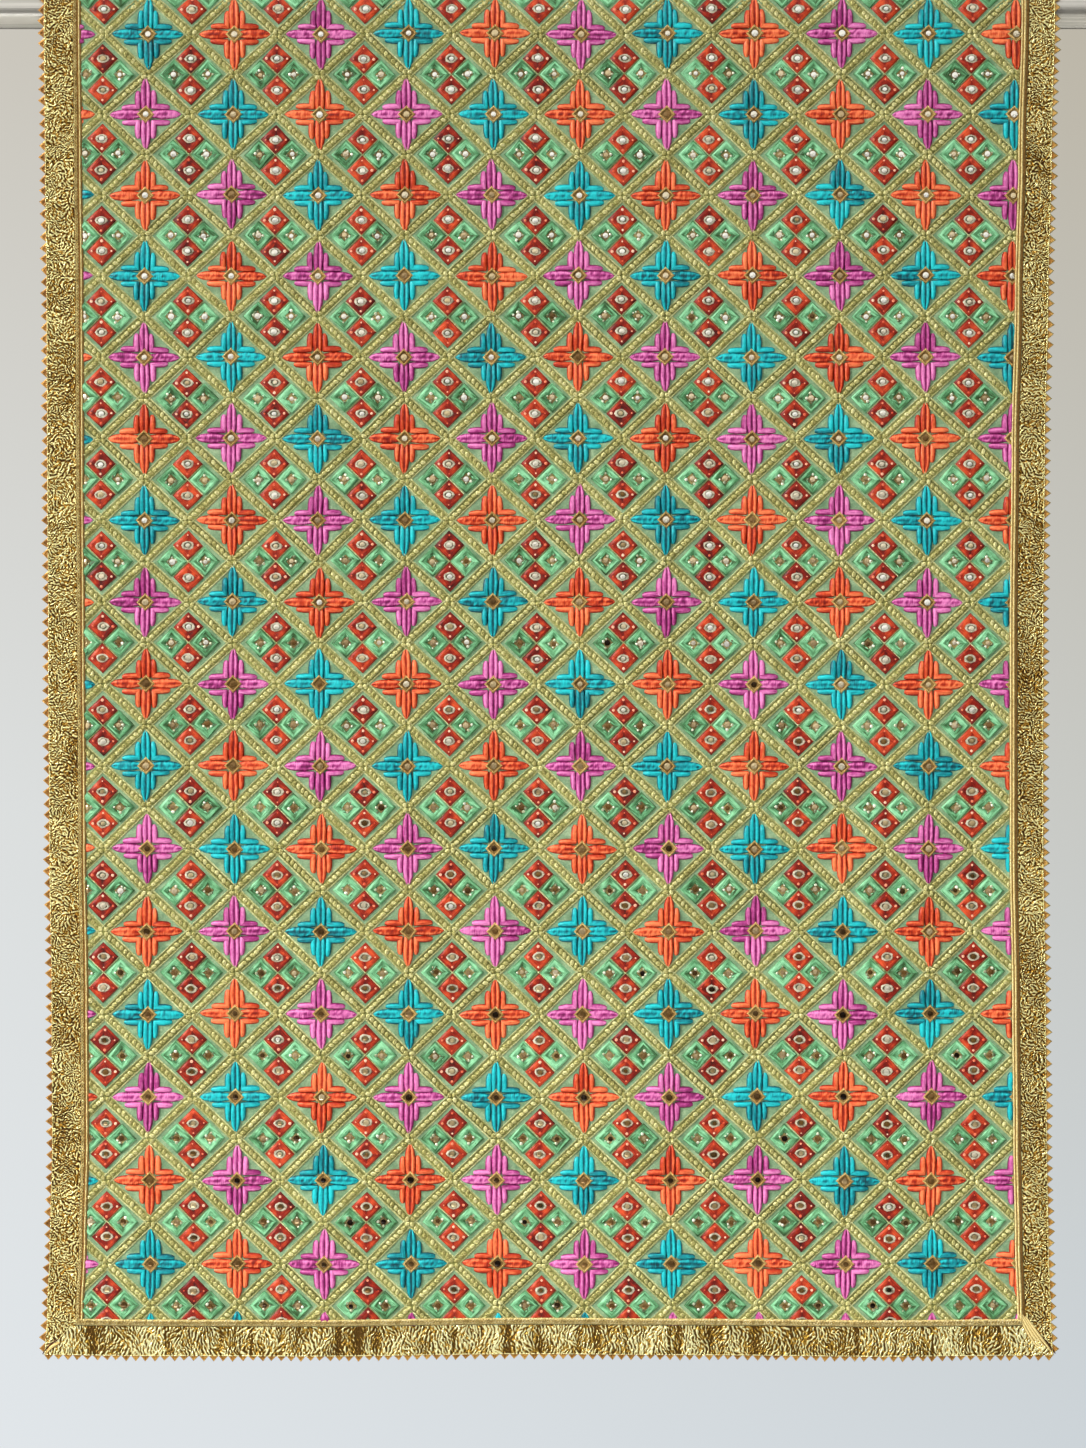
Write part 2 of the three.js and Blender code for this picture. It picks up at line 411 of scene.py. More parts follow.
def disc_faces(sides):
    rim = 1 + np.arange(sides)
    return np.stack([np.zeros(sides, int), 1 + rim % sides, rim], axis=1)


def uneven_tones(base, tone, own, spread):
    """A tone for each point of each copy: base, moved by the copy's own tone and by chance."""
    uneven = base + rng.uniform(-spread, spread, base.shape) + own * (tone[:, None, None] - 0.5)
    return np.clip(uneven, 0, 1).reshape(len(tone), -1)


# ---- Stars, in millimetres ----

# Profiles of the stitches, and how light the floss is at each point: painted shade where strands meet.
# The tones paint shade at the strands' edges and in the grooves between them, and highlight on their
# crests.
PADDED_PAIR = ((-1, 0), (-0.8, 0.8), (-0.4, 0.95), (0, 0.2), (0.4, 0.95), (0.8, 0.8), (1, 0))
PAIR_PAINTED_SHADE = (0.0, 0.56, 0.90, 0.0, 0.80, 0.45, 0.0)
LEAF = ((-1, 0), (-0.55, 1), (0, 0.72), (0.55, 1), (1, 0))
LEAF_PAINTED_SHADE = (0.1, 0.95, 0.38, 0.8, 0.05)
PADDED = ((-1, 0), (-0.55, 0.9), (0.45, 0.95), (1, 0))
PADDED_PAINTED_SHADE = (0.0, 0.85, 0.6, 0.0)
CORD = ((-1, 0), (0, 1), (1, 0))

# Strands of a star's arm: reach from the centre, aside, half width, height.
TALL_PETAL = (
    (5, 0, 3.9, 1.3),
    (11, 0, 4.5, 2.9),
    (18.5, 0, 4.7, 2.8),
    (24.5, 0, 4.1, 2.6),
    (28.8, 0, 2.6, 1.9),
    (31.6, 0, 0.8, 0.4),
)
SIDE_STRAND = (
    (5.2, 6.9, 2.7, 1.6),
    (9.5, 6.9, 2.8, 2.5),
    (14.5, 6.9, 2.8, 2.5),
    (18.9, 6.7, 2.4, 2.1),
    (21.0, 6.4, 1.4, 0.6),
)
SPREAD_TIP = (
    (19, 0, 5.6, 2.0),
    (24, 0, 4.6, 2.2),
    (28, 0, 3.0, 2.0),
    (31, 0, 0.9, 0.5),
)
BROAD_REACH = (5.0, 31.4)
BROAD_STITCHES = 13
BROAD_HALF = 4.5
BROAD_HEIGHT = 2.4
BROAD_UNEVEN = 0.34

# How far the arms and strands differ: by turn, in radians, by size and by shade.
ARM_TURNS = 0.02
ARM_GROWS = 0.035
ARM_LIFTS = 0.12
SIDE_TURNS = 0.03
SIDE_GROWS = 0.05
SIDE_SHADES = 0.25
EVEN_SHADES = 0.12
UNEVEN_SHADES = 0.42

# The gold square at a star's centre: radii and heights of its rim, and those of the floor inside it.
STAR_RIM = ((5.5, 5.9, 6.6, 7.4, 8.1), (1.4, 2.4, 2.9, 2.2, 0.9))
STAR_FLOOR = ((0.1, 6.0), (1.3, 1.4))
STAR_GLASS = (2.3, 3.1)  # the least and the greatest radius

MIRROR_LEAN = 0.03
MIRROR_CROWN = 0.15
MIRROR_DARKENS_TO_HEM = 0.65  # how much darker the mirrors' painted reflection is at the hem than at the pole
MIRROR_UNEVEN = 0.16


def broad_petal():
    """The arm that lies across the cloth: a leaf of short stitches, bumpy along its length."""
    t = np.linspace(0, 1, BROAD_STITCHES)
    swell = np.minimum(1, 0.72 + 0.9 * t) * (1 - np.maximum(0, (t - 0.45) / 0.55) ** 2.4) ** 0.6
    bump = np.where(np.arange(BROAD_STITCHES) % 2, 1.0, 0.66)
    half, height = np.maximum(0.3, BROAD_HALF * swell), np.maximum(0.2, BROAD_HEIGHT * swell * bump)
    return np.stack([np.linspace(*BROAD_REACH, BROAD_STITCHES), 0 * t, half, height], axis=1)


def side_strand(side):
    """The strand on one side of an arm. Its profile runs the same way across on both sides."""
    stations = [(reach, side * aside, half, height) for reach, aside, half, height in SIDE_STRAND]
    return stations, PADDED if side > 0 else [(-across, rise) for across, rise in reversed(PADDED)]


def strand_tones(tone, strand, shades, spread=EVEN_SHADES):
    return uneven_tones(np.broadcast_to(np.array(shades), strand.shape[:3]), tone, 0.4, spread)


def stars(work, i, j):
    """Whole stars: an arm each way, with a narrower strand on both its sides."""
    centres = lattice(i, j)
    count = len(centres)
    for quarter in range(4):
        angles = quarter * math.pi / 2 + jitter(count, ARM_TURNS)
        grow, lift = 1 + jitter(count, ARM_GROWS), 1 + jitter(count, ARM_LIFTS)
        tone = rng.random(count)
        if quarter % 2:
            petal = lofts(centres, angles, TALL_PETAL, PADDED_PAIR, grow, lift)
            work.grid(petal, tone=strand_tones(tone, petal, PAIR_PAINTED_SHADE))
        else:
            petal = lofts(centres, angles, broad_petal(), LEAF, grow, lift)
            petal[..., 1:-1, 2] += BROAD_UNEVEN * rng.uniform(-1, 1, petal[..., 1:-1, 2].shape)
            shades = strand_tones(tone, petal, LEAF_PAINTED_SHADE, UNEVEN_SHADES)
            work.grid(petal, threads=grid_threads(petal)[..., ::-1], tone=shades)
        for side in (-1, 1):
            turn = angles + jitter(count, SIDE_TURNS)
            if side < 0:
                jitter(count, SIDE_GROWS)  # left unused, and kept so that all later draws stay the same
            strand = lofts(centres, turn, *side_strand(side), 1 + jitter(count, SIDE_GROWS), lift)
            work.grid(strand, tone=strand_tones(tone + jitter(count, SIDE_SHADES), strand, PADDED_PAINTED_SHADE))


def star_tips(work, i, j):
    """The upper tips of the stars half under the front hem, spread wide by the seam."""
    centres = lattice(i, j)
    count = len(centres)
    petal = lofts(centres, np.full(count, -math.pi / 2), SPREAD_TIP, LEAF, 1 + jitter(count, SIDE_GROWS))
    work.grid(petal, tone=strand_tones(rng.random(count), petal, LEAF_PAINTED_SHADE, 0.4))


def star_centres(pads, i, j):
    centres = lattice(i, j)
    count = len(centres)
    turn, tone = jitter(count, 0.05), rng.random(count)
    pads["gold"].grid(placed(square_ring(*STAR_RIM), centres, turn), tone=0.4 + 0.6 * tone)
    pads["tan"].grid(placed(square_ring(*STAR_FLOOR), centres, turn), tone=tone)
    glasses(pads["mirror"], centres, rng.uniform(*STAR_GLASS, count), height=1.9, sides=8)


def glasses(work, centres, radius, height, sides, squash=1.0, clear=0.85):
    """Round mirrors, each a little tilted, so that each one reflects another part of the room."""
    count = len(centres)
    glass = placed(disc(sides), centres, rng.uniform(0, 1, count), radius)
    lean = rng.normal(0, MIRROR_LEAN, (count, 2))
    aside, along = (glass[..., :2] - centres[:, None]).transpose(2, 0, 1)
    along = along * squash
    glass[..., 1] = centres[:, 1:] + along
    glass[..., 2] = CLOTH_WALL + height + aside * lean[:, :1] + along * lean[:, 1:]
    glass[:, 0, 2] += MIRROR_CROWN * radius
    # Painted reflection: clear is how light a mirror's painted reflection is at the pole; it darkens
    # towards the hem and unevenly by chance.
    tone = clear - MIRROR_DARKENS_TO_HEM * down_at(centres[:, 1]) / DROP + rng.normal(0, MIRROR_UNEVEN, count)
    work.add(glass, disc_faces(sides), glass[..., :2], np.clip(tone, 0, 1))


def bead(work, centres, radius, height):
    count = len(centres)
    dome = placed(disc(BEAD_SIDES), centres, rng.uniform(0, 1, count), radius)
    dome[..., 2] = CLOTH_WALL + height
    dome[:, 0, 2] += radius * BEAD_CROWN
    work.add(dome, disc_faces(BEAD_SIDES), dome[..., :2], rng.random(count))


# ---- Groups of four diamonds ----

RED_FROM_MIDDLE = 13.8
GREEN_FROM_MIDDLE = 14.7

# Sections of the diamonds, from the middle out: reach, height, how light its stitches are, as painted
# light.
# Painted shade darkens the stitches at the inner edge, by the eye, and on the red at the rim; painted
# highlight lightens the highest section.
RED_FILL = (
    (4.0, 1.0, 0.45),
    (8.7, 1.3, 0.60),
    (12.2, 1.4, 0.62),
    (13.3, 0.2, 0.45),
)
GREEN_FRAME = (
    (4.8, 0.8, 0.10),
    (6.2, 1.4, 0.48),
    (8.5, 1.3, 0.55),
    (10.4, 1.9, 0.70),
    (12.2, 1.6, 0.56),
    (13.3, 0.2, 0.55),
)
GREEN_FLOOR = ((0.1, 5.0), (0.8, 0.9))

# The eye of a red diamond: a collar of cream thread round its glass.
COLLAR = ring(5.9, 2.6, (0.5, 2.2, 0.8), 10)
# The collar's tones paint shade at its inner edge, next to the glass, and highlight on its crest.
COLLAR_PAINTED_SHADE = (-0.2, 0.6, 0.35)
COLLAR_UNEVEN = 0.10
EYE_SQUASH = 0.72
EYE_GLASS = (2.0, 2.9)

# The coral knots at a red diamond's corners, and the beads on a green one.
KNOTS_FROM_CENTRE = 9.0
KNOT_RADIUS = (1.2, 2.1)
GREEN_GLASS = (1.9, 2.8)
BEADS_FROM_CENTRE = (3.2, 5.2)
BEAD_RADIUS = (0.8, 1.7)
BEAD_CROWN = 0.9
BEAD_SIDES = 6
ASIDE = 0.4  # how far a pad, and then its eye, lie from their places

# Loose stitches strewn over a green diamond. STREWN: how many, how far out, how far they turn aside.
STITCH = ((-2.0, 0, 0.7, 1.3), (0, 0, 1.1, 2.3), (2.0, 0, 0.7, 1.3))
STREWN = ((4, (5.2, 8.2), 0.5), (3, (9.6, 11.0), 0.1))

CROSSING_CORD = [(reach, 0, 0.55, 1.1) for reach in (-18.5, 0, 18.5)]


def diamonds(work, middle, offset, sections, spread, bars):
    """A pad of stitches at an offset from each group's middle. Gives the pads' centres, turns and tones.

    bars paints light on each side as a bar of its own: lighter by a random amount in its middle, as each
    bar catches the light, and painted shade at its ends in the corners.
    """
    centres = middle + offset + rng.uniform(-ASIDE, ASIDE, middle.shape)
    count = len(centres)
    turn, tone = jitter(count, 0.035), rng.random(count)
    radii, heights, shades = np.array(sections).T
    pad = placed(square_ring(radii, heights), centres, turn)
    sides = np.arange(pad.shape[1])[:, None] % 2
    own = bars * (sides * rng.uniform(0.2, 1.0, (count, pad.shape[1], 1)) - 0.4)
    work.grid(pad, tone=uneven_tones(shades + own, tone, 0.3, spread))
    return centres, turn, tone


def red_diamonds(pads, i, j):
    middle = lattice(i, j)
    for side in (-1, 1):
        offset = (0, side * RED_FROM_MIDDLE)
        centres, _, _ = diamonds(pads["red"], middle, offset, RED_FILL, spread=0.2, bars=0.4)
        eye = centres + rng.uniform(-ASIDE, ASIDE, centres.shape)
        eye = eye[inside_braid(*eye.T) > -2.0]
        count = len(eye)
        rough = rough_ring(COLLAR, count, COLLAR_UNEVEN)
        rough[..., 1] *= EYE_SQUASH
        threads = grid_threads(rough)[..., ::-1]
        shades = np.clip(COLLAR_PAINTED_SHADE + 0.5 * rng.random((count, len(COLLAR), 1)), 0, 1)
        collar = laid_out(rough[..., 0], rough[..., 1], rough[..., 2] + CLOTH_WALL, eye)
        pads["cream"].grid(collar, threads, shades.reshape(count, -1))
        radius = rng.uniform(*EYE_GLASS, count)
        place = eye + rng.uniform(-0.3, 0.3, eye.shape)
        glasses(pads["mirror"], place, radius, height=1.7, sides=10, squash=0.9, clear=1.0)
        for corner in range(4):
            place = centres + rotated(KNOTS_FROM_CENTRE, 0.0, corner * math.pi / 2)
            size = rng.uniform(*KNOT_RADIUS, len(place))
            bead(pads["coral"], place + rng.uniform(-0.3, 0.3, place.shape), size, height=0.8)


def green_diamonds(pads, i, j):
    middle = lattice(i, j)
    for side in (-1, 1):
        offset = (side * GREEN_FROM_MIDDLE, 0)
        centres, turn, tone = diamonds(pads["mint"], middle, offset, GREEN_FRAME, spread=0.35, bars=0.28)
        count = len(centres)
        short_stitches(pads["mint"], centres)
        pads["olive"].grid(placed(square_ring(*GREEN_FLOOR), centres, turn), tone=tone)
        place = centres + rng.uniform(-0.5, 0.5, centres.shape)
        glasses(pads["mirror"], place, rng.uniform(*GREEN_GLASS, count), height=1.3, sides=8, clear=0.92)
        for k in range(4):
            angle = k * math.pi / 2 + rng.uniform(-0.6, 0.6, count)
            aside = np.stack(rotated(rng.uniform(*BEADS_FROM_CENTRE, count), 0.0, angle), axis=1)
            bead(pads["silver"], centres + aside, rng.uniform(*BEAD_RADIUS, count), height=1.1)


def short_stitches(work, centres):
    count = len(centres)
    for number, reaches, sway in STREWN:
        for k in range(number):
            corner = k * math.pi / 2
            t = rng.uniform(0.12, 0.88, count)
            reach = rng.uniform(*reaches, count)
            aside = np.stack(rotated(reach * (1 - t), reach * t, corner), axis=1)
            angles = corner + 3 * math.pi / 4 + jitter(count, sway)
            work.grid(lofts(centres + aside, angles, STITCH, CORD), tone=rng.uniform(0.0, 1.2, count))


def crossing_cords(work, i, j):
    """The two thin cords that part the four diamonds of a group."""
    middle = lattice(i, j)
    count = len(middle)
    for angle in (math.pi / 4, 3 * math.pi / 4):
        work.grid(lofts(middle, np.full(count, angle), CROSSING_CORD, CORD), tone=rng.random(count))


# ---- The diagonal lattice ----

CORD_ASIDE = 3.6
CORD_HALF = 0.8
CORD_HEIGHT = 1.1
CORD_WANDERS = 0.25
CORD_PROFILE = [(across * CORD_HALF, rise * CORD_HEIGHT - SUNK) for across, rise in CORD]
BED_PROFILE = ((-CORD_ASIDE, 0.1), (0.0, 0.45), (CORD_ASIDE, 0.1))
NEAR_FOLD = 20.0

LOOP_HALF = (2.9, 2.1)
LOOP_THREAD = 2.7
LOOP_HEIGHTS = (1.3, 1.9, 0.1)
LOOP_SLANT = 0.5


def lattice_sides():
    """The lattice's sides, each from a corner beside a star to a corner above or below it."""
    i, j = cells(0)
    halves = (-0.5, 0.5)
    starts = [lattice(i + across, j) for across in halves for _ in halves]
    ends = [lattice(i, j + up) for _ in halves for up in halves]
    return np.concatenate(starts), np.concatenate(ends)


def along_side(start, end, t, aside):
    """Places at fractions t of each side, shifted to its side. Rows are sides and columns fractions."""
    run = end - start
    unit = run / np.linalg.norm(run, axis=1, keepdims=True)
    left = np.stack([unit[:, 1], -unit[:, 0]], axis=1)
    return start[:, None] + run[:, None] * t[None, :, None] + left[:, None] * aside


def along_lattice(start, end, t, profile, shift=0.0):
    """Grids along the lattice's sides with a profile of (across, height)."""
    lines = []
    for across, height in profile:
        line = along_side(start, end, t, shift + across)
        lines.append(np.concatenate([line, np.full_like(line[..., :1], CLOTH_WALL + height)], axis=-1))
    return np.stack(lines, axis=2)


def lattice_cords(work, start, end):
    """Two cords to each side, in more steps where they bend over the fold."""
    over_fold = ((np.minimum(start[:, 1], end[:, 1]) < NEAR_FOLD)
                 & (np.maximum(start[:, 1], end[:, 1]) > -FOLD_ARC - NEAR_FOLD))
    for chosen, steps in ((~over_fold, 3), (over_fold, 13)):
        for side in (-1, 1):
            t = np.linspace(-0.035, 1.035, steps)
            count = chosen.sum()
            shift = CORD_ASIDE * side + CORD_WANDERS * rng.uniform(-1, 1, (count, steps, 1))
            cords = along_lattice(start[chosen], end[chosen], t, CORD_PROFILE, shift)
            work.grid(cords, tone=0.2 + 0.6 * rng.random(count))


def lattice_bed(work, start, end):
    """Couched gold threads that fill the band between the two cords."""
    bed = along_lattice(start, end, np.linspace(-0.02, 1.02, 5), BED_PROFILE)
    work.grid(bed, tone=rng.random(len(start)))


def lattice_loops(work, start, end, sides, number):
    """A row of small thick loops of thread between the two cords."""
    t = 0.02 + 0.96 * (np.arange(number) + 0.5) / number
    centres = along_side(start, end, t, 0.0).reshape(-1, 2)
    centres = centres + rng.uniform(-0.35, 0.35, centres.shape)
    run = np.repeat(np.arctan2(*(end - start).T[::-1]), number)
    loop = ring(LOOP_HALF[0], LOOP_HALF[0] - LOOP_THREAD, LOOP_HEIGHTS, sides, LOOP_HALF[1] / LOOP_HALF[0])
    small_loops(work, loop, centres, run + LOOP_SLANT, sway=0.5, uneven=0.08)


# ---- The gold border ----

SIDES = {"left": -1, "right": 1}
TOOTH_PITCH = {"left": 10.0, "right": 9.3, "hem": 8.6}
TOOTH_DEPTH = {"left": 6.0, "right": 6.0, "hem": 5.0}
TOOTH_UNDER = 0.6  # how far the teeth reach in under the ribbon
RIBBON_INNER = CLOTH_WALL + GAP
RIBBON_FACE = RIBBON_INNER + 1.0
MITRE_REACH = 90.0  # rows of a side strip lean over this length to meet the mitre


def kind_of(place):
    return place if place in SIDES else "hem"


def side_rows(step):
    """Heights of the rows of a strip that runs from one hem over the pole to the other."""
    drop = np.linspace(0, DROP, round(DROP / step) + 1)
    fold = -np.linspace(0, FOLD_ARC, 1 + round(FOLD_ARC / min(step, 3.0)))
    return np.concatenate([-FOLD_ARC - drop[::-1], fold[::-1][1:-1], drop])


def edge_place(place, along, inset, out=0.0):
    """Points at an inset from a side or a hem, at distances along it."""
    if place in SIDES:
        x = SIDES[place] * (half_width(place, down_at(along)) - inset)
        return np.stack([x, along, 0 * x + out], axis=-1)
    s = on_drop(place, drop_length(place, along) - inset)
    return np.stack([along, s, 0 * s + out], axis=-1)


def side_grid(side, insets, step):
    """A grid down one side. Its columns lie at the insets, and its ends follow the mitres."""
    s = np.repeat(side_rows(step)[:, None], len(insets), axis=1)
    insets = np.broadcast_to(insets, s.shape)
    corner = SIDES[side] * (half_width(side, DROP) - insets)
    start = DROP - MITRE_REACH
    for drop in ("front", "back"):
        down = on_drop(drop, s)
        end = drop_length(drop, corner) - insets
        leaning = start + (down - start) * (end - start) / MITRE_REACH
        s = np.where(down > start, on_drop(drop, leaning), s)
    return edge_place(side, s, insets)


def hem_grid(drop, insets, step):
    """A grid across one hem, its ends on the mitres."""
    count = round(2 * OUTLINE[0, 1] / step)
    t = np.linspace(-1, 1, count + 1)[:, None]
    insets = np.broadcast_to(insets, (count + 1, len(insets)))
    return edge_place(drop, across_cloth(DROP, insets, t), insets)


def inward(place):
    """Whether a strip's columns run from its edge inwards for its faces to point out."""
    return place in ("left", "front")


def strip(work, place, profile, step, shape=None, shade=None):
    """A strip of one section, (inset, out), along a side or a hem. shape moves its points out."""
    insets, outs = np.array(profile, float).T
    if not inward(place):
        insets, outs = insets[::-1], outs[::-1]
    side = place in SIDES
    places = side_grid(place, insets, step) if side else hem_grid(place, insets, step)
    along = places[..., 1 if side else 0]
    across = np.broadcast_to(insets, along.shape)
    places[..., 2] = outs if shape is None else outs + shape(along, across)
    tone = 0.5 if shade is None else np.clip(shade(along, across), 0, 1).reshape(1, -1)
    work.grid(places[None], threads=np.stack([along, across], axis=-1), tone=tone)


# Creases across the ribbon of the front hem: where, how wide, how deep. The back's are turned about.
HEM_CREASES = np.array([
    (-403, 5.5, 1.0), (-394, 2.2, 0.6), (-337, 4.0, 0.5), (-290, 2.0, 0.7), (-263, 2.0, 0.8),
    (-237, 3.0, 0.5), (-221, 2.5, 0.5), (-186, 3.0, 0.8), (-168, 6.0, 1.0), (-153, 4.5, 0.8),
    (-110, 3.0, 0.3), (-84, 2.2, 0.7), (-60, 4.0, 0.5), (-37, 5.5, 0.9), (-9, 5.0, 0.5),
    (26, 2.5, 0.7), (42, 5.0, 0.5), (68, 2.5, 0.5), (106, 2.0, 0.9), (114, 6.0, 0.9),
    (142, 2.2, 0.6), (152, 2.2, 0.5), (182, 6.5, 0.6), (215, 3.0, 0.4), (246, 4.5, 0.4),
    (271, 3.0, 0.7), (305, 3.5, 0.4), (338, 2.5, 0.5), (366, 4.0, 0.3), (396, 2.5, 0.4),
])
CREASE_TIGHTNESS = 0.62
NOISE_LAYER = {"left": 3, "right": 4, "front": 5, "back": 6}
FIELD_COLUMNS = 12
FIELD_STEP = {"front": 1.8, "back": 2.4, "left": 3.2, "right": 3.2}
UNSEEN_STEP = 12.0


def creased(place, along, across):
    """0 on the smooth of the ribbon and up to 1 in the middle of a crease."""
    layer = NOISE_LAYER[place]
    if place in SIDES:
        lines = np.abs(noise((along + 0.5 * across) / 19.0, across / 70.0, layer))
        return 0.28 * np.exp(-(lines / 0.10) ** 2) * eased(noise(along / 26.0, 0.0, layer + 7) + 0.5)
    sign = 1 if place == "front" else -1
    at, wide, deep = HEM_CREASES.T
    lean = 2.5 * noise(at / 31.0, 0.0, layer) * (across[..., None] - 18) / 18
    aside = (sign * along[..., None] - at - lean) / (CREASE_TIGHTNESS * wide)
    return np.clip((deep * np.exp(-aside * aside)).sum(axis=-1), 0, 1)


def gathers(place):
    """The ribbon's relief between its two edges: soft humps with tight creases between."""
    proud = 0.4 if place in SIDES else 1.2

    def shape(along, across):
        middle = np.sin(math.pi * np.clip((across - 5.0) / (RIBBON_WIDTH - 4.0), 0, 1)) ** 0.4
        humps = noise(along / 14.0, across / 45.0, NOISE_LAYER[place] + 4)
        fine = noise(along / 5.0, across / 8.0, NOISE_LAYER[place] + 11)
        return middle * (proud * humps + 0.2 * fine - 0.8 * creased(place, along, across))
    return shape


def gather_tones(place):
    """Painted shade along the creases, and lighter or darker from one hump to the next."""
    base, reach = (0.52, 0.07) if place in SIDES else (0.54, 0.17)

    def shade(along, across):
        humps = noise(along / 21.0, across / 30.0, NOISE_LAYER[place] + 6)
        small = noise(along / 8.0, across / 9.0, NOISE_LAYER[place] + 8)
        return base + reach * (humps + 0.7 * small) - 0.5 * creased(place, along, across)
    return shade


def field(work, place):
    """The crinkled face of the ribbon, its inner edge and its underside."""
    edge, end = TOOTH_DEPTH[kind_of(place)], RIBBON_EDGE[kind_of(place)]
    insets = np.linspace(edge, end, FIELD_COLUMNS)
    face = [(edge, RIBBON_INNER)] + [(inset, RIBBON_FACE) for inset in insets]
    strip(work, place, face, FIELD_STEP[place], gathers(place), gather_tones(place))
    strip(work, place, [(end, RIBBON_FACE), (end, RIBBON_INNER)], UNSEEN_STEP)
    strip(work, place, [(end, RIBBON_INNER), (edge, RIBBON_INNER)], UNSEEN_STEP)


def spaced(place, margin, pitch):
    """Distances about a pitch apart along a side or a hem, and the step between them."""
    if place in SIDES:
        begin, finish = margin - FOLD_ARC - DROP, DROP - margin
    else:
        begin, finish = margin - half_width("left", DROP), half_width("right", DROP) - margin
    count = round((finish - begin) / pitch)
    step = (finish - begin) / count
    return begin + step * (np.arange(count) + 0.5), step


# A point of a tooth: along it (in pitches), share of its depth, height, tone.
# The tones paint shade into a tooth's sunk middle and lighten its raised lip.
TOOTH_POINTS = (
    (-0.5, 1.0, RIBBON_FACE + 0.2, 0.7),
    (0.5, 1.0, RIBBON_FACE + 0.2, 0.7),
    (0.0, 0.0, RIBBON_FACE, 0.7),
    (-0.26, 0.88, RIBBON_FACE - 0.5, 0.1),
    (0.26, 0.88, RIBBON_FACE - 0.5, 0.1),
    (0.0, 0.38, RIBBON_FACE - 0.5, 0.1),
    (-0.5, 1.0, RIBBON_INNER, 0.3),
    (0.5, 1.0, RIBBON_INNER, 0.3),
    (0.0, 0.0, RIBBON_INNER, 0.3),
)
TOOTH_FACES = np.array([
    (3, 4, 5), (0, 1, 4), (0, 4, 3), (1, 2, 5), (1, 5, 4), (2, 0, 3), (2, 3, 5),
    (8, 7, 6), (0, 2, 8), (0, 8, 6), (2, 1, 7), (2, 7, 8),
])
TOOTH_WIDTH = 1.02  # of the pitch, so that the teeth just overlap


def tooth_row(work, place):
    """Pointed folds of ribbon along an edge, each with a raised lip round a sunk middle."""
    root = TOOTH_DEPTH[kind_of(place)] + TOOTH_UNDER
    at, step = spaced(place, root, TOOTH_PITCH[kind_of(place)])
    count = len(at)
    lean, blunt, shade = jitter(count, 0.9), rng.uniform(0, 1.2, count), rng.random(count)
    places, threads, tones = [], [], []
    for aside, share, out, tone in TOOTH_POINTS:
        along = at + aside * step * TOOTH_WIDTH + lean * (1 - share)
        inset = root * share + blunt * (1 - share)
        places.append(edge_place(place, along, inset, out))
        threads.append(np.stack([along, inset], axis=-1))
        tones.append(tone + 0.3 * shade)
    faces = TOOTH_FACES[:, ::-1] if inward(place) else TOOTH_FACES
    work.add(np.stack(places, axis=1), faces, np.stack(threads, axis=1), np.stack(tones, axis=1))


def chain(work, place, inset, pitch, outer, width, height, slant):
    """A row of small loops that lie side by side along the braid. outer is a loop's half widths."""
    along, _ = spaced(place, inset, pitch)
    centres = edge_place(place, along, inset + jitter(len(along), 0.2))[:, :2]
    loop = ring(outer[0], outer[0] - width, (0.1, height, 0.1), 7, outer[1] / outer[0])
    angle = slant if place in SIDES else slant + math.pi / 2
    small_loops(work, loop, centres, angle, sway=0.12, uneven=0.06, base=RIBBON_FACE - 0.1)


def round_cord(work, place, inset, half, height, tone, knots=0.0, pitch=4.0):
    """A raised cord along the braid, knotted at a pitch if knots is not 0."""
    profile = [(inset + half * across, RIBBON_INNER + height * rise) for across, rise in
               ((-1, 0), (-0.7, 0.75), (0, 1), (0.7, 0.75), (1, 0))]

    def shape(along, across):
        inside = 1 - np.minimum(np.abs(across - inset) / half, 1)
        return knots * inside * np.sin(2 * math.pi * along / pitch)

    def shade(along, across):
        return tone + 0.15 * noise(along / 3.0, 0.0, 20)
    strip(work, place, profile, 2.2 if knots else 4.0, shape if knots else None, shade)


def braid_bed(work, place):
    """The strip that the braid's cords and loops are worked on."""
    start, end = RIBBON_EDGE[kind_of(place)] + 0.3, BRAID_EDGE[kind_of(place)]
    profile = [
        (start, RIBBON_INNER),
        (start + 0.1, RIBBON_INNER + 0.7),
        (end - 0.2, RIBBON_INNER + 0.7),
        (end, RIBBON_INNER),
        (start, RIBBON_INNER),
    ]
    strip(work, place, profile, 6.0)


# Folds gathered into the corners: from and to (inset from the side, from the hem), bow, half, height, tone.
# A fold of tone 0 is a painted shadow line beside the others.
CORNER_FOLDS = {
    ("front", "right"): (
        ((37, 43), (15, 5.5), 1.6, 1.5, 0.8, 0.7),
        ((35, 42), (11.5, 5.5), 1.2, 1.5, 0.9, 0.85),
        ((33, 41), (8.5, 5.5), 0.7, 1.4, 1.1, 0.75),
        ((30.5, 39.5), (6, 6), 0.1, 1.4, 1.2, 0.9),
        ((28.5, 36), (4, 6.5), -0.6, 1.1, 0.5, 0.0),
    ),
    ("front", "left"): (
        ((19, 19), (4.5, 5.5), -1.6, 0.9, 0.4, 0.0),
        ((20, 16), (7, 5.5), -1.4, 1.7, 0.8, 0.62),
    ),
    ("back", "right"): (
        ((26, 24), (4.5, 5.5), 1.5, 0.9, 0.4, 0.0),
        ((27, 21), (7, 5.5), 1.2, 1.7, 0.8, 0.62),
    ),
    ("back", "left"): (
        ((35, 41), (11, 5.5), -1.0, 1.7, 0.9, 0.72),
        ((32, 39), (7, 6), -0.3, 1.7, 1.1, 0.6),
        ((29, 35), (4, 6.5), 0.6, 1.1, 0.5, 0.0),
    ),
}


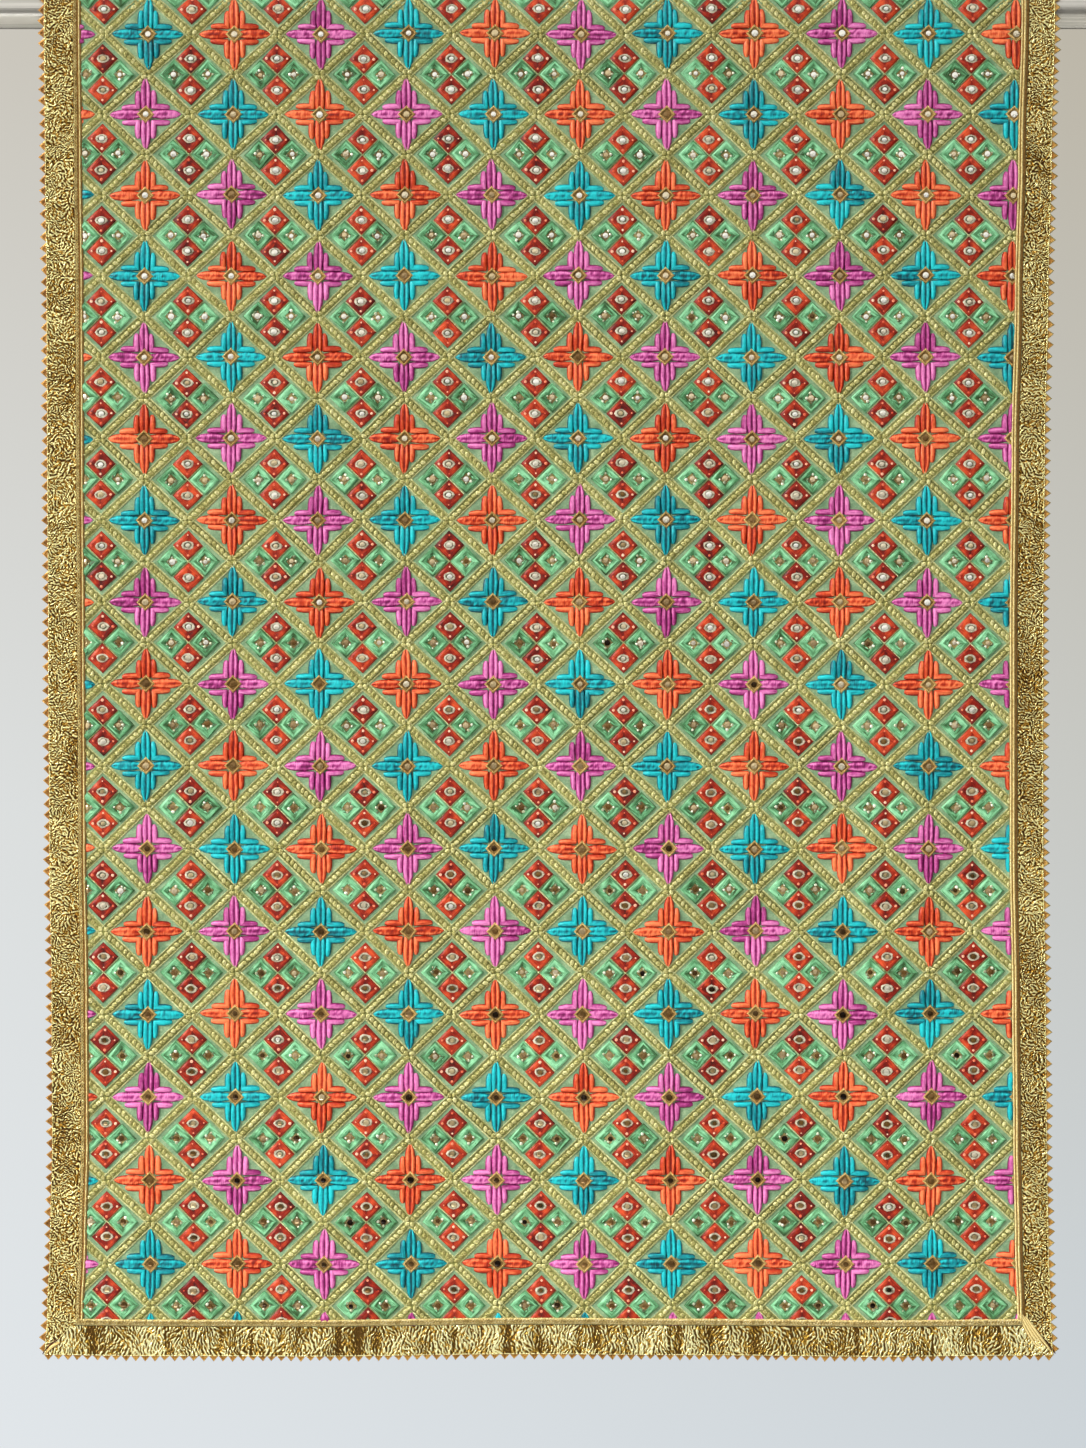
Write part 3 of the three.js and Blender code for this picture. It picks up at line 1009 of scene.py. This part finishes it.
def corner_folds(work, drop):
    """Narrow tapering folds laid over the meeting of the side and hem ribbons."""
    t = np.linspace(0, 1, 10)
    swell = np.sin(math.pi * np.clip(0.12 + 0.8 * t, 0, 1)) ** 0.6
    for side, sign in SIDES.items():
        for start, end, bow, half, height, tone in CORNER_FOLDS[drop, side]:
            run = np.array(end, float) - start
            normal = np.array([-run[1], run[0]]) / np.linalg.norm(run)
            lines, tones = [], []
            for across, rise in ((-1, 0), (-0.5, 0.8), (0.3, 1), (1, 0)):
                aside = bow * np.sin(math.pi * t) + across * half * swell
                insets = start + run * t[:, None] + normal * aside[:, None]
                x = sign * (half_width(side, DROP) - insets[:, 0])
                lines.append(edge_place(drop, x, insets[:, 1], RIBBON_FACE + height * rise * swell))
                # Painted shade darkens each fold's flanks and tapered ends, and painted highlight lightens
                # its crest.
                tones.append(np.clip(tone + 0.6 * (rise - 0.8), 0, 1) * (0.7 + 0.3 * swell))
            if (sign > 0) == (drop == "front"):
                lines.reverse()
                tones.reverse()
            work.grid(np.stack(lines, axis=1)[None], tone=np.stack(tones, axis=1).reshape(1, -1))


# ---- The ground cloth ----

CLOTH_COLUMNS = 38
CLOTH_STEP = 18.0


def ground_cloth(work):
    """One closed wall of cloth, over the pole and down both drops, with its edges under the ribbons."""
    rows = side_rows(CLOTH_STEP)[:, None]
    t = np.linspace(-1, 1, CLOTH_COLUMNS)
    lowest = DROP - CLOTH_INSET
    ends = np.clip(rows, -FOLD_ARC - lowest, lowest)
    stretch = eased((down_at(rows) - (DROP - MITRE_REACH)) / MITRE_REACH)
    s = ends + 0 * t
    for _ in range(2):
        x = across_cloth(down_at(s), CLOTH_INSET, t)
        s = ends + np.sign(ends + FOLD_ARC / 2) * hem_sway(x, s) * stretch
    outer = np.stack([x, s, np.full_like(x, CLOTH_WALL)], axis=-1)
    inner = np.stack([x, s, np.zeros_like(x)], axis=-1)
    around = np.concatenate([outer, inner[:, ::-1], outer[:, :1]], axis=1)
    back_edge = np.stack([outer[0], inner[0]])
    front_edge = np.stack([inner[-1], outer[-1]])
    for places in (around, back_edge, front_edge):
        work.grid(places[None], threads=places[..., :2])


# ---- Materials ----

def rgb(red, green, blue):
    """A colour given as 0 to 255 on the screen, in the linear values that shaders use."""
    channels = []
    for value in (red, green, blue):
        value /= 255
        channels.append(value / 12.92 if value <= 0.04045 else ((value + 0.055) / 1.055) ** 2.4)
    return (*channels, 1.0)


class Shade:
    """Builds the nodes of one material, or of the world."""

    def __init__(self, owner):
        owner.use_nodes = True
        self.tree = owner.node_tree
        self.tree.nodes.clear()

    def add(self, kind, inputs, output=0, **settings):
        node = self.tree.nodes.new("ShaderNode" + kind)
        for key, value in settings.items():
            setattr(node, key, value)
        for key, value in inputs.items():
            if isinstance(value, bpy.types.NodeSocket):
                self.tree.links.new(value, node.inputs[key])
            else:
                node.inputs[key].default_value = value
        return node.outputs[output] if output is not None else node

    def math(self, operation, first, second, third=0.0):
        return self.add("Math", {0: first, 1: second, 2: third}, operation=operation)

    def sum(self, value, share, rest):
        """value times share, and the rest."""
        return self.math("MULTIPLY_ADD", value, share, rest)

    def scaled(self, vector, scale):
        return self.add("VectorMath", {0: vector, 1: scale}, operation="MULTIPLY")

    def threads(self, along, across):
        """Where a point lies along and across its thread, scaled."""
        return self.scaled(self.add("UVMap", {}, uv_map="threads"), (along, across, 1.0))

    def tone(self):
        return self.add("Attribute", {}, output="Fac", attribute_name="tone")

    def noise(self, vector, scale, detail=2.0, roughness=0.5):
        inputs = {"Vector": vector, "Scale": scale, "Detail": detail, "Roughness": roughness}
        return self.add("TexNoise", inputs)

    def grain(self, along, across, detail, roughness=0.5):
        """Noise that runs with the threads."""
        return self.noise(self.threads(along, across), 1.0, detail, roughness)

    def ramp(self, value, places, colours, linear=False):
        """A colour for each value, from colours on the screen at some places."""
        node = self.add("ValToRGB", {"Fac": value}, output=None)
        elements = node.color_ramp.elements
        while len(elements) < len(places):
            elements.new(0.5)
        for element, position, colour in zip(elements, places, colours):
            element.position = position
            element.color = (*colour, 1.0) if linear else rgb(*colour)
        return node.outputs["Color"]

    def mix(self, factor, first, second):
        return self.add("Mix", {0: factor, 6: first, 7: second}, output=2, data_type="RGBA")

    def bump(self, height, distance):
        """distance in millimetres."""
        return self.add("Bump", {"Height": height, "Distance": distance * MM})

    def principled(self, **inputs):
        names = {key.replace("_", " "): value for key, value in inputs.items()}
        shader = self.add("BsdfPrincipled", names)
        self.add("OutputMaterial", {"Surface": shader}, output=None)


def material(name):
    made = bpy.data.materials.new(name)
    return made, Shade(made)


def silk(name, colours):
    """Glossy untwisted floss, streaked by its fibres."""
    made, shade = material(name)
    tone = shade.tone()
    fibres = shade.grain(0.10, 2.6, 3.0, 0.6)
    patches = shade.grain(0.35, 0.35, 1.0)
    value = shade.sum(fibres, 0.75, shade.sum(tone, 0.50, -0.15))
    value = shade.sum(patches, 0.22, shade.math("SUBTRACT", value, 0.08))
    colour = shade.ramp(value, (0.30, 0.50, 0.74), colours)
    shade.principled(Base_Color=colour, Roughness=0.40, Specular_IOR_Level=0.32, Sheen_Weight=0.05,
                     Sheen_Roughness=0.4, Normal=shade.bump(fibres, 0.12))
    return made


def metal_thread(name, colours, metallic, roughness, relief=0.22, reach=0.22):
    """Metal strip wound on a core: twisted highlights along each cord, painted into its colour as well as
    raised by the bump.
    """
    made, shade = material(name)
    tone = shade.tone()
    wound = shade.add("TexWave", {"Vector": shade.threads(2.4, 1.92), "Scale": 0.314,
                                  "Distortion": 2.0, "Detail": 1.0, "Detail Scale": 1.5},
                      output="Fac", bands_direction="DIAGONAL")
    worn = shade.grain(0.5, 0.5, 2.0)
    value = shade.sum(wound, 0.30, shade.math("MULTIPLY", worn, 0.55))
    value = shade.sum(tone, reach, shade.math("ADD", value, 0.11 - reach / 2))
    colour = shade.ramp(value, (0.25, 0.52, 0.80), colours)
    shade.principled(Base_Color=colour, Metallic=metallic, Roughness=roughness,
                     Normal=shade.bump(wound, relief))
    return made


def crinkled_gold(name, colours, swirling, across, anisotropy, scales):
    """Metal ribbon crushed into fine worm-like ridges, which run together where the tone is light.

    They turn by up to swirling radians each way, and below 1, across draws them out across the ribbon.
    """
    made, shade = material(name)
    vector = shade.threads(1.0, across)
    turn = shade.sum(shade.grain(0.05, 0.05, 1.0), 2 * swirling, -swirling)
    ridges = []
    for scale in scales:
        inputs = {"Vector": vector, "Scale": scale, "Frequency": 1.0, "Orientation 2D": turn,
                  "Anisotropy": anisotropy}
        ridges.append(shade.add("TexGabor", inputs, output="Value"))
    where = shade.grain(0.06, 0.06, 1.0)
    coarse = shade.add("MapRange", {"Value": where, "From Min": 0.45, "From Max": 0.55})
    mixed = shade.math("ADD", shade.math("MULTIPLY", ridges[0], coarse),
                       shade.math("MULTIPLY", ridges[1], shade.math("SUBTRACT", 1.0, coarse)))
    lifted = shade.sum(shade.tone(), 0.36, mixed)
    crests = shade.add("MapRange", {"Value": lifted, "From Min": 0.50, "From Max": 0.84},
                       interpolation_type="SMOOTHSTEP")
    fine = shade.grain(0.9, 0.7, 2.0)
    height = shade.sum(fine, 0.25, shade.math("MULTIPLY", crests, 0.90))
    # The colour follows the height of the ridges: painted shade in their valleys and painted highlight on
    # their crests.
    value = shade.sum(shade.tone(), 0.30, shade.math("SUBTRACT", height, 0.22))
    dark, middle, light = colours
    colour = shade.ramp(value, (0.14, 0.40, 0.60, 0.86), (dark, middle, middle, light))
    shade.principled(Base_Color=colour, Metallic=0.70, Roughness=0.28, Normal=shade.bump(height, 1.8))
    return made


def smooth_gold(name, colours, reach=0.5, relief=0.3):
    """Metal without ridges: ribbon folded flat, or a bead."""
    made, shade = material(name)
    value = shade.sum(shade.grain(0.8, 0.5, 3.0), 1.0 - reach,
                       shade.math("MULTIPLY", shade.tone(), reach))
    colour = shade.ramp(value, (0.30, 0.50, 0.72), colours)
    shade.principled(Base_Color=colour, Metallic=0.6, Roughness=0.4,
                     Normal=shade.bump(shade.grain(1.5, 0.6, 2.0), relief))
    return made


def mirror_glass():
    """Silvered glass whose colour paints its reflection: from dark brown through tan and cream to near
    white by the tone, with spots.
    """
    made, shade = material("mirror_glass")
    tone = shade.tone()
    spots = shade.grain(0.6, 0.6, 2.0)
    value = shade.sum(spots, 0.15, shade.math("MULTIPLY", tone, 0.9))
    colour = shade.ramp(value, (0.20, 0.44, 0.66, 0.84),
                        ((34, 22, 12), (140, 104, 58), (226, 204, 158), (255, 252, 240)))
    shade.principled(Base_Color=colour, Metallic=0.6, Roughness=0.08, Normal=shade.bump(spots, 0.012))
    return made


def net_cloth():
    """Fine sage cloth of a plain weave."""
    made, shade = material("ground_cloth")
    warp, weft = (shade.add("TexWave", {"Vector": shade.threads(1.0, 1.0), "Scale": 0.42, "Distortion": 0.8,
                                        "Detail": 1.0}, output="Fac", bands_direction=way) for way in "XY")
    weave = shade.sum(warp, 0.5, shade.math("MULTIPLY", weft, 0.5))
    mottle = shade.grain(0.09, 0.09, 3.0)
    slub = shade.grain(0.6, 0.6, 3.0)
    value = shade.sum(weave, 0.22, shade.math("MULTIPLY", mottle, 0.8))
    value = shade.sum(slub, 0.40, shade.math("SUBTRACT", value, 0.20))
    colour = shade.ramp(value, (0.30, 0.52, 0.75), ((102, 136, 100), (136, 168, 129), (178, 204, 161)))
    shade.principled(Base_Color=colour, Roughness=0.8, Sheen_Weight=0.2, Sheen_Roughness=0.5,
                     Specular_IOR_Level=0.25, Normal=shade.bump(weave, 0.25))
    return made


def satin_nickel():
    """Metal brushed along the pole."""
    made, shade = material("satin_nickel")
    where = shade.add("TexCoord", {}, output="Object")
    brushed = shade.noise(shade.scaled(where, (6.0, 900.0, 900.0)), 1.0, 3.0)
    colour = shade.ramp(brushed, (0.3, 0.7), ((186, 182, 174), (222, 218, 210)))
    rough = shade.add("MapRange", {"Value": brushed, "To Min": 0.24, "To Max": 0.36})
    shade.principled(Base_Color=colour, Metallic=0.82, Roughness=rough, Normal=shade.bump(brushed, 0.05))
    return made


def floor_paint():
    made, shade = material("floor_paint")
    where = shade.add("TexCoord", {}, output="Object")
    tint = shade.ramp(shade.noise(where, 1.4), (0.3, 0.7), ((186, 186, 182), (190, 190, 186)))
    shade.principled(Base_Color=tint, Roughness=0.9, Specular_IOR_Level=0.1)
    return made


# ---- Room, light and camera, in metres ----

CAMERA_X = -0.0057
CAMERA_Z = -0.6327
CAMERA_AWAY = 3.2
FRAME_HEIGHT = 1.278
SENSOR_HEIGHT = 36.0  # in millimetres, as Blender wants it
FLOOR_Z = -2.1
FLOOR_RADIUS = 4.0
ROUND_SIDES = 96


def stand(name, data, place):
    """Puts a camera, a light or the floor into the room."""
    thing = bpy.data.objects.new(name, data)
    thing.location = place
    bpy.context.scene.collection.objects.link(thing)
    return thing


def camera():
    """Square on to the front drop, as in the photo."""
    data = bpy.data.cameras.new("camera")
    data.sensor_fit = "VERTICAL"
    data.sensor_height = SENSOR_HEIGHT
    data.lens = SENSOR_HEIGHT * CAMERA_AWAY / FRAME_HEIGHT
    eye = stand("camera", data, (CAMERA_X, -INNER * MM - CAMERA_AWAY, CAMERA_Z))
    eye.rotation_euler = (math.pi / 2, 0, 0)
    bpy.context.scene.camera = eye


def floor():
    angle = 2 * math.pi * np.arange(ROUND_SIDES) / ROUND_SIDES
    rim = [(FLOOR_RADIUS * math.cos(a), FLOOR_RADIUS * math.sin(a), FLOOR_Z) for a in angle]
    mesh = bpy.data.meshes.new("floor")
    mesh.from_pydata(rim, [], [tuple(range(ROUND_SIDES))])
    mesh.materials.append(floor_paint())
    stand("floor", mesh, (0, 0, 0))


def area_light(name, place, target, size, power, colour, spread=180.0):
    data = bpy.data.lights.new(name, "AREA")
    data.size = size
    data.spread = math.radians(spread)
    data.energy = power
    data.color = colour
    aim = np.array(target) - np.array(place)
    flat = math.hypot(aim[0], aim[1])
    lamp = stand(name, data, place)
    lamp.rotation_euler = (math.atan2(flat, -aim[2]), 0, math.atan2(-aim[0], aim[1]))


def lights():
    area_light("key", (-5.1, -4.2, 2.55), (1.5, 0, -3.2), 1.65, 72, (1.0, 0.98, 0.94), 54)
    area_light("low", (-0.9, -2.6, -2.6), (0, 0, -1.3), 1.4, 47, (0.96, 0.98, 1.0))
    area_light("behind", (1.2, 3.2, 1.4), (0, 0, -0.6), 1.8, 78, (1.0, 0.99, 0.97))


def room():
    """A pale wall of air behind the cloth, with painted shade, and a studio of bright and dark panels for
    it to reflect.
    """
    world = bpy.data.worlds.new("room")
    bpy.context.scene.world = world
    shade = Shade(world)
    toward = shade.add("TexCoord", {}, output="Generated")
    split = shade.add("SeparateXYZ", {0: toward}, output=None)
    height = shade.sum(split.outputs["Z"], 2.2, 0.5)
    aside = shade.sum(split.outputs["X"], 2.8, 0.5)
    # The wall of air has painted shade: darker to the right of the cloth and towards the top.
    left = shade.ramp(height, (0.02, 0.45, 0.95), ((228, 233, 237), (222, 225, 225), (202, 197, 186)))
    right = shade.ramp(height, (0.02, 0.45, 0.95), ((203, 211, 217), (198, 199, 194), (186, 179, 163)))
    seen = shade.mix(aside, left, right)
    panels = shade.noise(toward, 7.5, 1.0)
    high = shade.sum(split.outputs["Z"], 0.75, panels)
    high = shade.sum(split.outputs["X"], -0.25, high)
    reflected = shade.ramp(high, (0.44, 0.49, 0.54),
                           ((0.03, 0.025, 0.02), (0.12, 0.11, 0.10), (0.85, 0.85, 0.83)), linear=True)
    camera_ray = shade.add("LightPath", {}, output="Is Camera Ray")
    colour = shade.mix(camera_ray, reflected, seen)
    background = shade.add("Background", {"Color": colour, "Strength": 1.0})
    shade.add("OutputWorld", {"Surface": background}, output=None)


# ---- The pole ----

POLE_EASE = 1.2
POLE_RINGS = 12


def curtain_pole():
    """A round tube with eased ends."""
    half = POLE_LENGTH / 2
    end = [(-half, 0.0), (-half, POLE_RADIUS - POLE_EASE),
           (-half + 0.35 * POLE_EASE, POLE_RADIUS - 0.3 * POLE_EASE), (-half + POLE_EASE, POLE_RADIUS)]
    middle = [(x, POLE_RADIUS) for x in np.linspace(-half + 40, half - 40, POLE_RINGS)]
    rings = end + middle + [(-x, radius) for x, radius in reversed(end)]
    x, radius = np.array(rings).T[:, :, None]
    angle = 2 * math.pi * np.arange(ROUND_SIDES + 1) / ROUND_SIDES
    places = np.broadcast_arrays(x, radius * np.cos(angle), radius * np.sin(angle))
    threads = np.stack(np.broadcast_arrays(x, POLE_RADIUS * angle), axis=-1)
    return mesh_object("curtain_pole", np.stack(places, axis=-1).reshape(-1, 3) * MM,
                       grid_faces(len(rings), len(angle)), threads.reshape(-1, 2),
                       np.full(threads[..., 0].size, 0.5), satin_nickel(), "pole")


# ---- Putting it together ----

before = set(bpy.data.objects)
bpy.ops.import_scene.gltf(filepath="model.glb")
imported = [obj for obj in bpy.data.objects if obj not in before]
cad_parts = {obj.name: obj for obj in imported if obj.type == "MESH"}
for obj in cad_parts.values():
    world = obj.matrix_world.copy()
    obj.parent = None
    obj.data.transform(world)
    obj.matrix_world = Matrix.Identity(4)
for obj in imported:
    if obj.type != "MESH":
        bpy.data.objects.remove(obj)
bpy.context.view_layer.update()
bpy.context.scene.view_settings.view_transform = "Standard"
camera()
floor()
room()
lights()

# Colours as they look on the screen, from 0 to 255: dark, middle and light.
FLOSS = {name: silk("floss_" + name, colours) for name, colours in {
    "orange": ((118, 14, 2), (202, 56, 18), (255, 136, 84)),
    "teal": ((0, 58, 70), (0, 134, 146), (30, 206, 212)),
    "magenta": ((94, 8, 64), (172, 50, 128), (242, 140, 202)),
    "red": ((50, 3, 0), (140, 20, 0), (222, 84, 40)),
    "mint": ((42, 68, 28), (90, 152, 102), (156, 226, 174)),
    "coral": ((216, 80, 48), (242, 144, 106), (255, 212, 182)),
}.items()}
GOLD = metal_thread("gold_thread", ((90, 92, 44), (188, 188, 120), (240, 242, 198)), 0.4, 0.38)
BRIGHT = metal_thread("bright_gold", ((100, 92, 38), (202, 194, 112), (250, 246, 194)), 0.3, 0.36, 0.14)
CREAM = metal_thread("cream_thread", ((66, 50, 36), (148, 132, 104), (230, 222, 198)), 0.05, 0.5, 0.14, 0.6)
PALE = metal_thread("pale_gold", ((142, 110, 48), (234, 208, 127), (255, 248, 208)), 0.1, 0.5, 0.10)
YELLOWED = metal_thread("yellowed_gold", ((78, 80, 34), (132, 134, 66), (190, 190, 116)), 0.2, 0.45)
TAN = metal_thread("tan_gold", ((74, 48, 16), (140, 106, 54), (212, 180, 114)), 0.3, 0.45)
RIMS = metal_thread("rim_gold", ((108, 74, 24), (196, 154, 76), (244, 220, 150)), 0.35, 0.34)
BRAID = metal_thread("braid_gold", ((124, 94, 38), (242, 212, 130), (255, 250, 196)), 0.35, 0.38)
# Painted shade: the side braids' bed is a dark gold, for the shadowed grooves beside their cords.
SHADED_BED_GOLD = metal_thread("shaded_bed_gold", ((100, 70, 26), (164, 120, 58), (214, 174, 102)), 0.55, 0.4)
OLIVE = metal_thread("olive_gold", ((62, 46, 18), (134, 112, 60), (208, 192, 126)), 0.3, 0.45)
SILVER = smooth_gold("silver_bead", ((104, 114, 84), (190, 196, 162), (252, 252, 232)), 0.5, 0.5)
FOLDED = smooth_gold("folded_gold", ((70, 42, 8), (184, 140, 62), (250, 228, 158)), 0.85, 0.12)
CRINKLED = {
    "side": crinkled_gold("crinkled_side", ((64, 38, 0), (167, 122, 33), (253, 244, 174)),
                          swirling=5.0, across=1.0, anisotropy=0.5, scales=(0.32, 0.42)),
    "hem": crinkled_gold("crinkled_hem", ((88, 60, 8), (182, 142, 52), (255, 250, 190)),
                         swirling=2.5, across=0.85, anisotropy=0.65, scales=(0.29, 0.36)),
}
# One gold for the teeth in lit and shaded copies: painted lighter on the right, where the edge curls toward
# the light, and darker on the left.
TEETH = {
    "left": smooth_gold("teeth_left", ((104, 66, 24), (164, 114, 50), (216, 168, 92))),
    "right": smooth_gold("teeth_right", ((186, 126, 52), (250, 200, 112), (255, 238, 168))),
    "hem": smooth_gold("teeth_hem", ((130, 84, 28), (206, 150, 66), (248, 206, 122))),
}
LATTICE_LOOPS = {"front": (6, 11), "back": (5, 7)}  # sides of a loop, and loops to a side of the lattice
NODES = {
    "left": ("ribbon_left_front", "ribbon_left_over_pole", "ribbon_left_back"),
    "right": ("ribbon_right_front", "ribbon_right_over_pole", "ribbon_right_back"),
    "front": ("ribbon_hem_front",),
    "back": ("ribbon_hem_back",),
}


def all_stars(i, j):
    """The stars in their three colours, with the tips of those half under the front hem."""
    last = j == STAR_ROWS[-1]
    in_last = np.array(LAST_ROW)[np.clip(i, 0, len(LAST_ROW) - 1).astype(int)]
    number = np.where(last, in_last, (i - j).astype(int) % len(STAR_COLOURS))
    for index, colour in enumerate(STAR_COLOURS):
        whole, tips = (number == index) & ~last, (number == index) & last
        work = Work("stars_" + colour, FLOSS[colour], colour + "_thread")
        stars(work, i[whole], j[whole])
        if tips.any():
            star_tips(work, i[tips], j[tips])
        work.build()


def pads_and_lattice(i, j, start, end):
    """All that lies between the arms of the stars, but for the loops."""
    pads = {
        "gold": Work("star_rims", RIMS, "gold_thread"),
        "tan": Work("star_floors", TAN, "gold_thread"),
        "olive": Work("dark_gold_centres", OLIVE, "gold_thread"),
        "cream": Work("mirror_rings", CREAM, "gold_thread"),
        "red": Work("diamonds_red", FLOSS["red"], "red_thread"),
        "mint": Work("diamonds_green", FLOSS["mint"], "mint_thread"),
        "coral": Work("coral_knots", FLOSS["coral"], "orange_thread"),
        "silver": Work("silver_beads", SILVER, "mirror_glass"),
        "mirror": Work("mirrors", mirror_glass(), "mirror_glass"),
        "cords": Work("lattice_cords", GOLD, "gold_thread"),
        "bed": Work("lattice_bed", YELLOWED, "gold_thread"),
    }
    groups = cells(0.5)
    star_centres(pads, i, j)
    red_diamonds(pads, *groups)
    green_diamonds(pads, *groups)
    crossing_cords(pads["cords"], *groups)
    lattice_cords(pads["cords"], start, end)
    lattice_bed(pads["bed"], start, end)
    for work in pads.values():
        work.build()


def all_loops(start, end):
    on_front = (start[:, 1] + end[:, 1]) / 2 > -FOLD_ARC / 2
    for drop, chosen in (("front", on_front), ("back", ~on_front)):
        loops = Work("lattice_loops_" + drop, BRIGHT, "gold_thread")
        lattice_loops(loops, start[chosen], end[chosen], *LATTICE_LOOPS[drop])
        loops.build()


def border(place, nodes):
    """The ribbon and the braid along one side or hem."""
    kind, hem = kind_of(place), place not in SIDES
    gota = Work("gota_" + place, CRINKLED["hem" if hem else "side"], "gold_ribbon", clipped=False)
    field(gota, place)
    round_cord(gota, place, TOOTH_DEPTH[kind] + 0.5, half=0.6, height=1.5, tone=0.85)
    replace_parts(gota.build(), *nodes)
    teeth = Work("gota_teeth_" + place, TEETH[kind], "gold_ribbon", clipped=False)
    tooth_row(teeth, place)
    teeth.build()
    braid = Work("braid_" + place + "_cords", PALE if hem else BRAID, "gold_braid", clipped=False)
    bed = Work("braid_" + place + "_bed", BRAID if hem else SHADED_BED_GOLD, "gold_braid", clipped=False)
    braid_bed(bed, place)
    start = RIBBON_EDGE[kind]
    if kind == "left":
        chain(braid, place, start + 1.8, pitch=2.7, outer=(1.55, 1.5), width=1.2, height=1.9, slant=0.5)
        round_cord(braid, place, start + 5.4, half=0.8, height=2.0, tone=0.7)
    elif kind == "right":
        round_cord(braid, place, start + 3.7, half=1.1, height=2.2, tone=0.6, knots=0.5, pitch=3.4)
        round_cord(braid, place, start + 6.3, half=0.9, height=1.9, tone=0.95)
    else:
        raised = ((0.9, 0.0), (1.1, 1.2), (5.9, 1.2), (6.1, 0.0))
        strip(bed, place, [(start + inset, RIBBON_INNER + out) for inset, out in raised], 6.0)
        chain(braid, place, start + 3.5, pitch=2.6, outer=(2.6, 1.5), width=1.5, height=2.2, slant=0.35)
        folds = Work("corner_folds_" + place, FOLDED, "gold_ribbon", clipped=False)
        corner_folds(folds, place)
        folds.build()
    braid.build()
    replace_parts(bed.build(), *(node.replace("ribbon", "braid") for node in nodes))


ground = Work("ground_cloth", net_cloth(), "ground_cloth", clipped=False)
ground_cloth(ground)
cloth = ground.build()
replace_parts(cloth, "cloth_front", "cloth_over_pole", "cloth_back")
star_places, sides = cells(0), lattice_sides()
all_stars(*star_places)
pads_and_lattice(*star_places, *sides)
all_loops(*sides)
for place, nodes in NODES.items():
    border(place, nodes)
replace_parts(curtain_pole(), "pole")
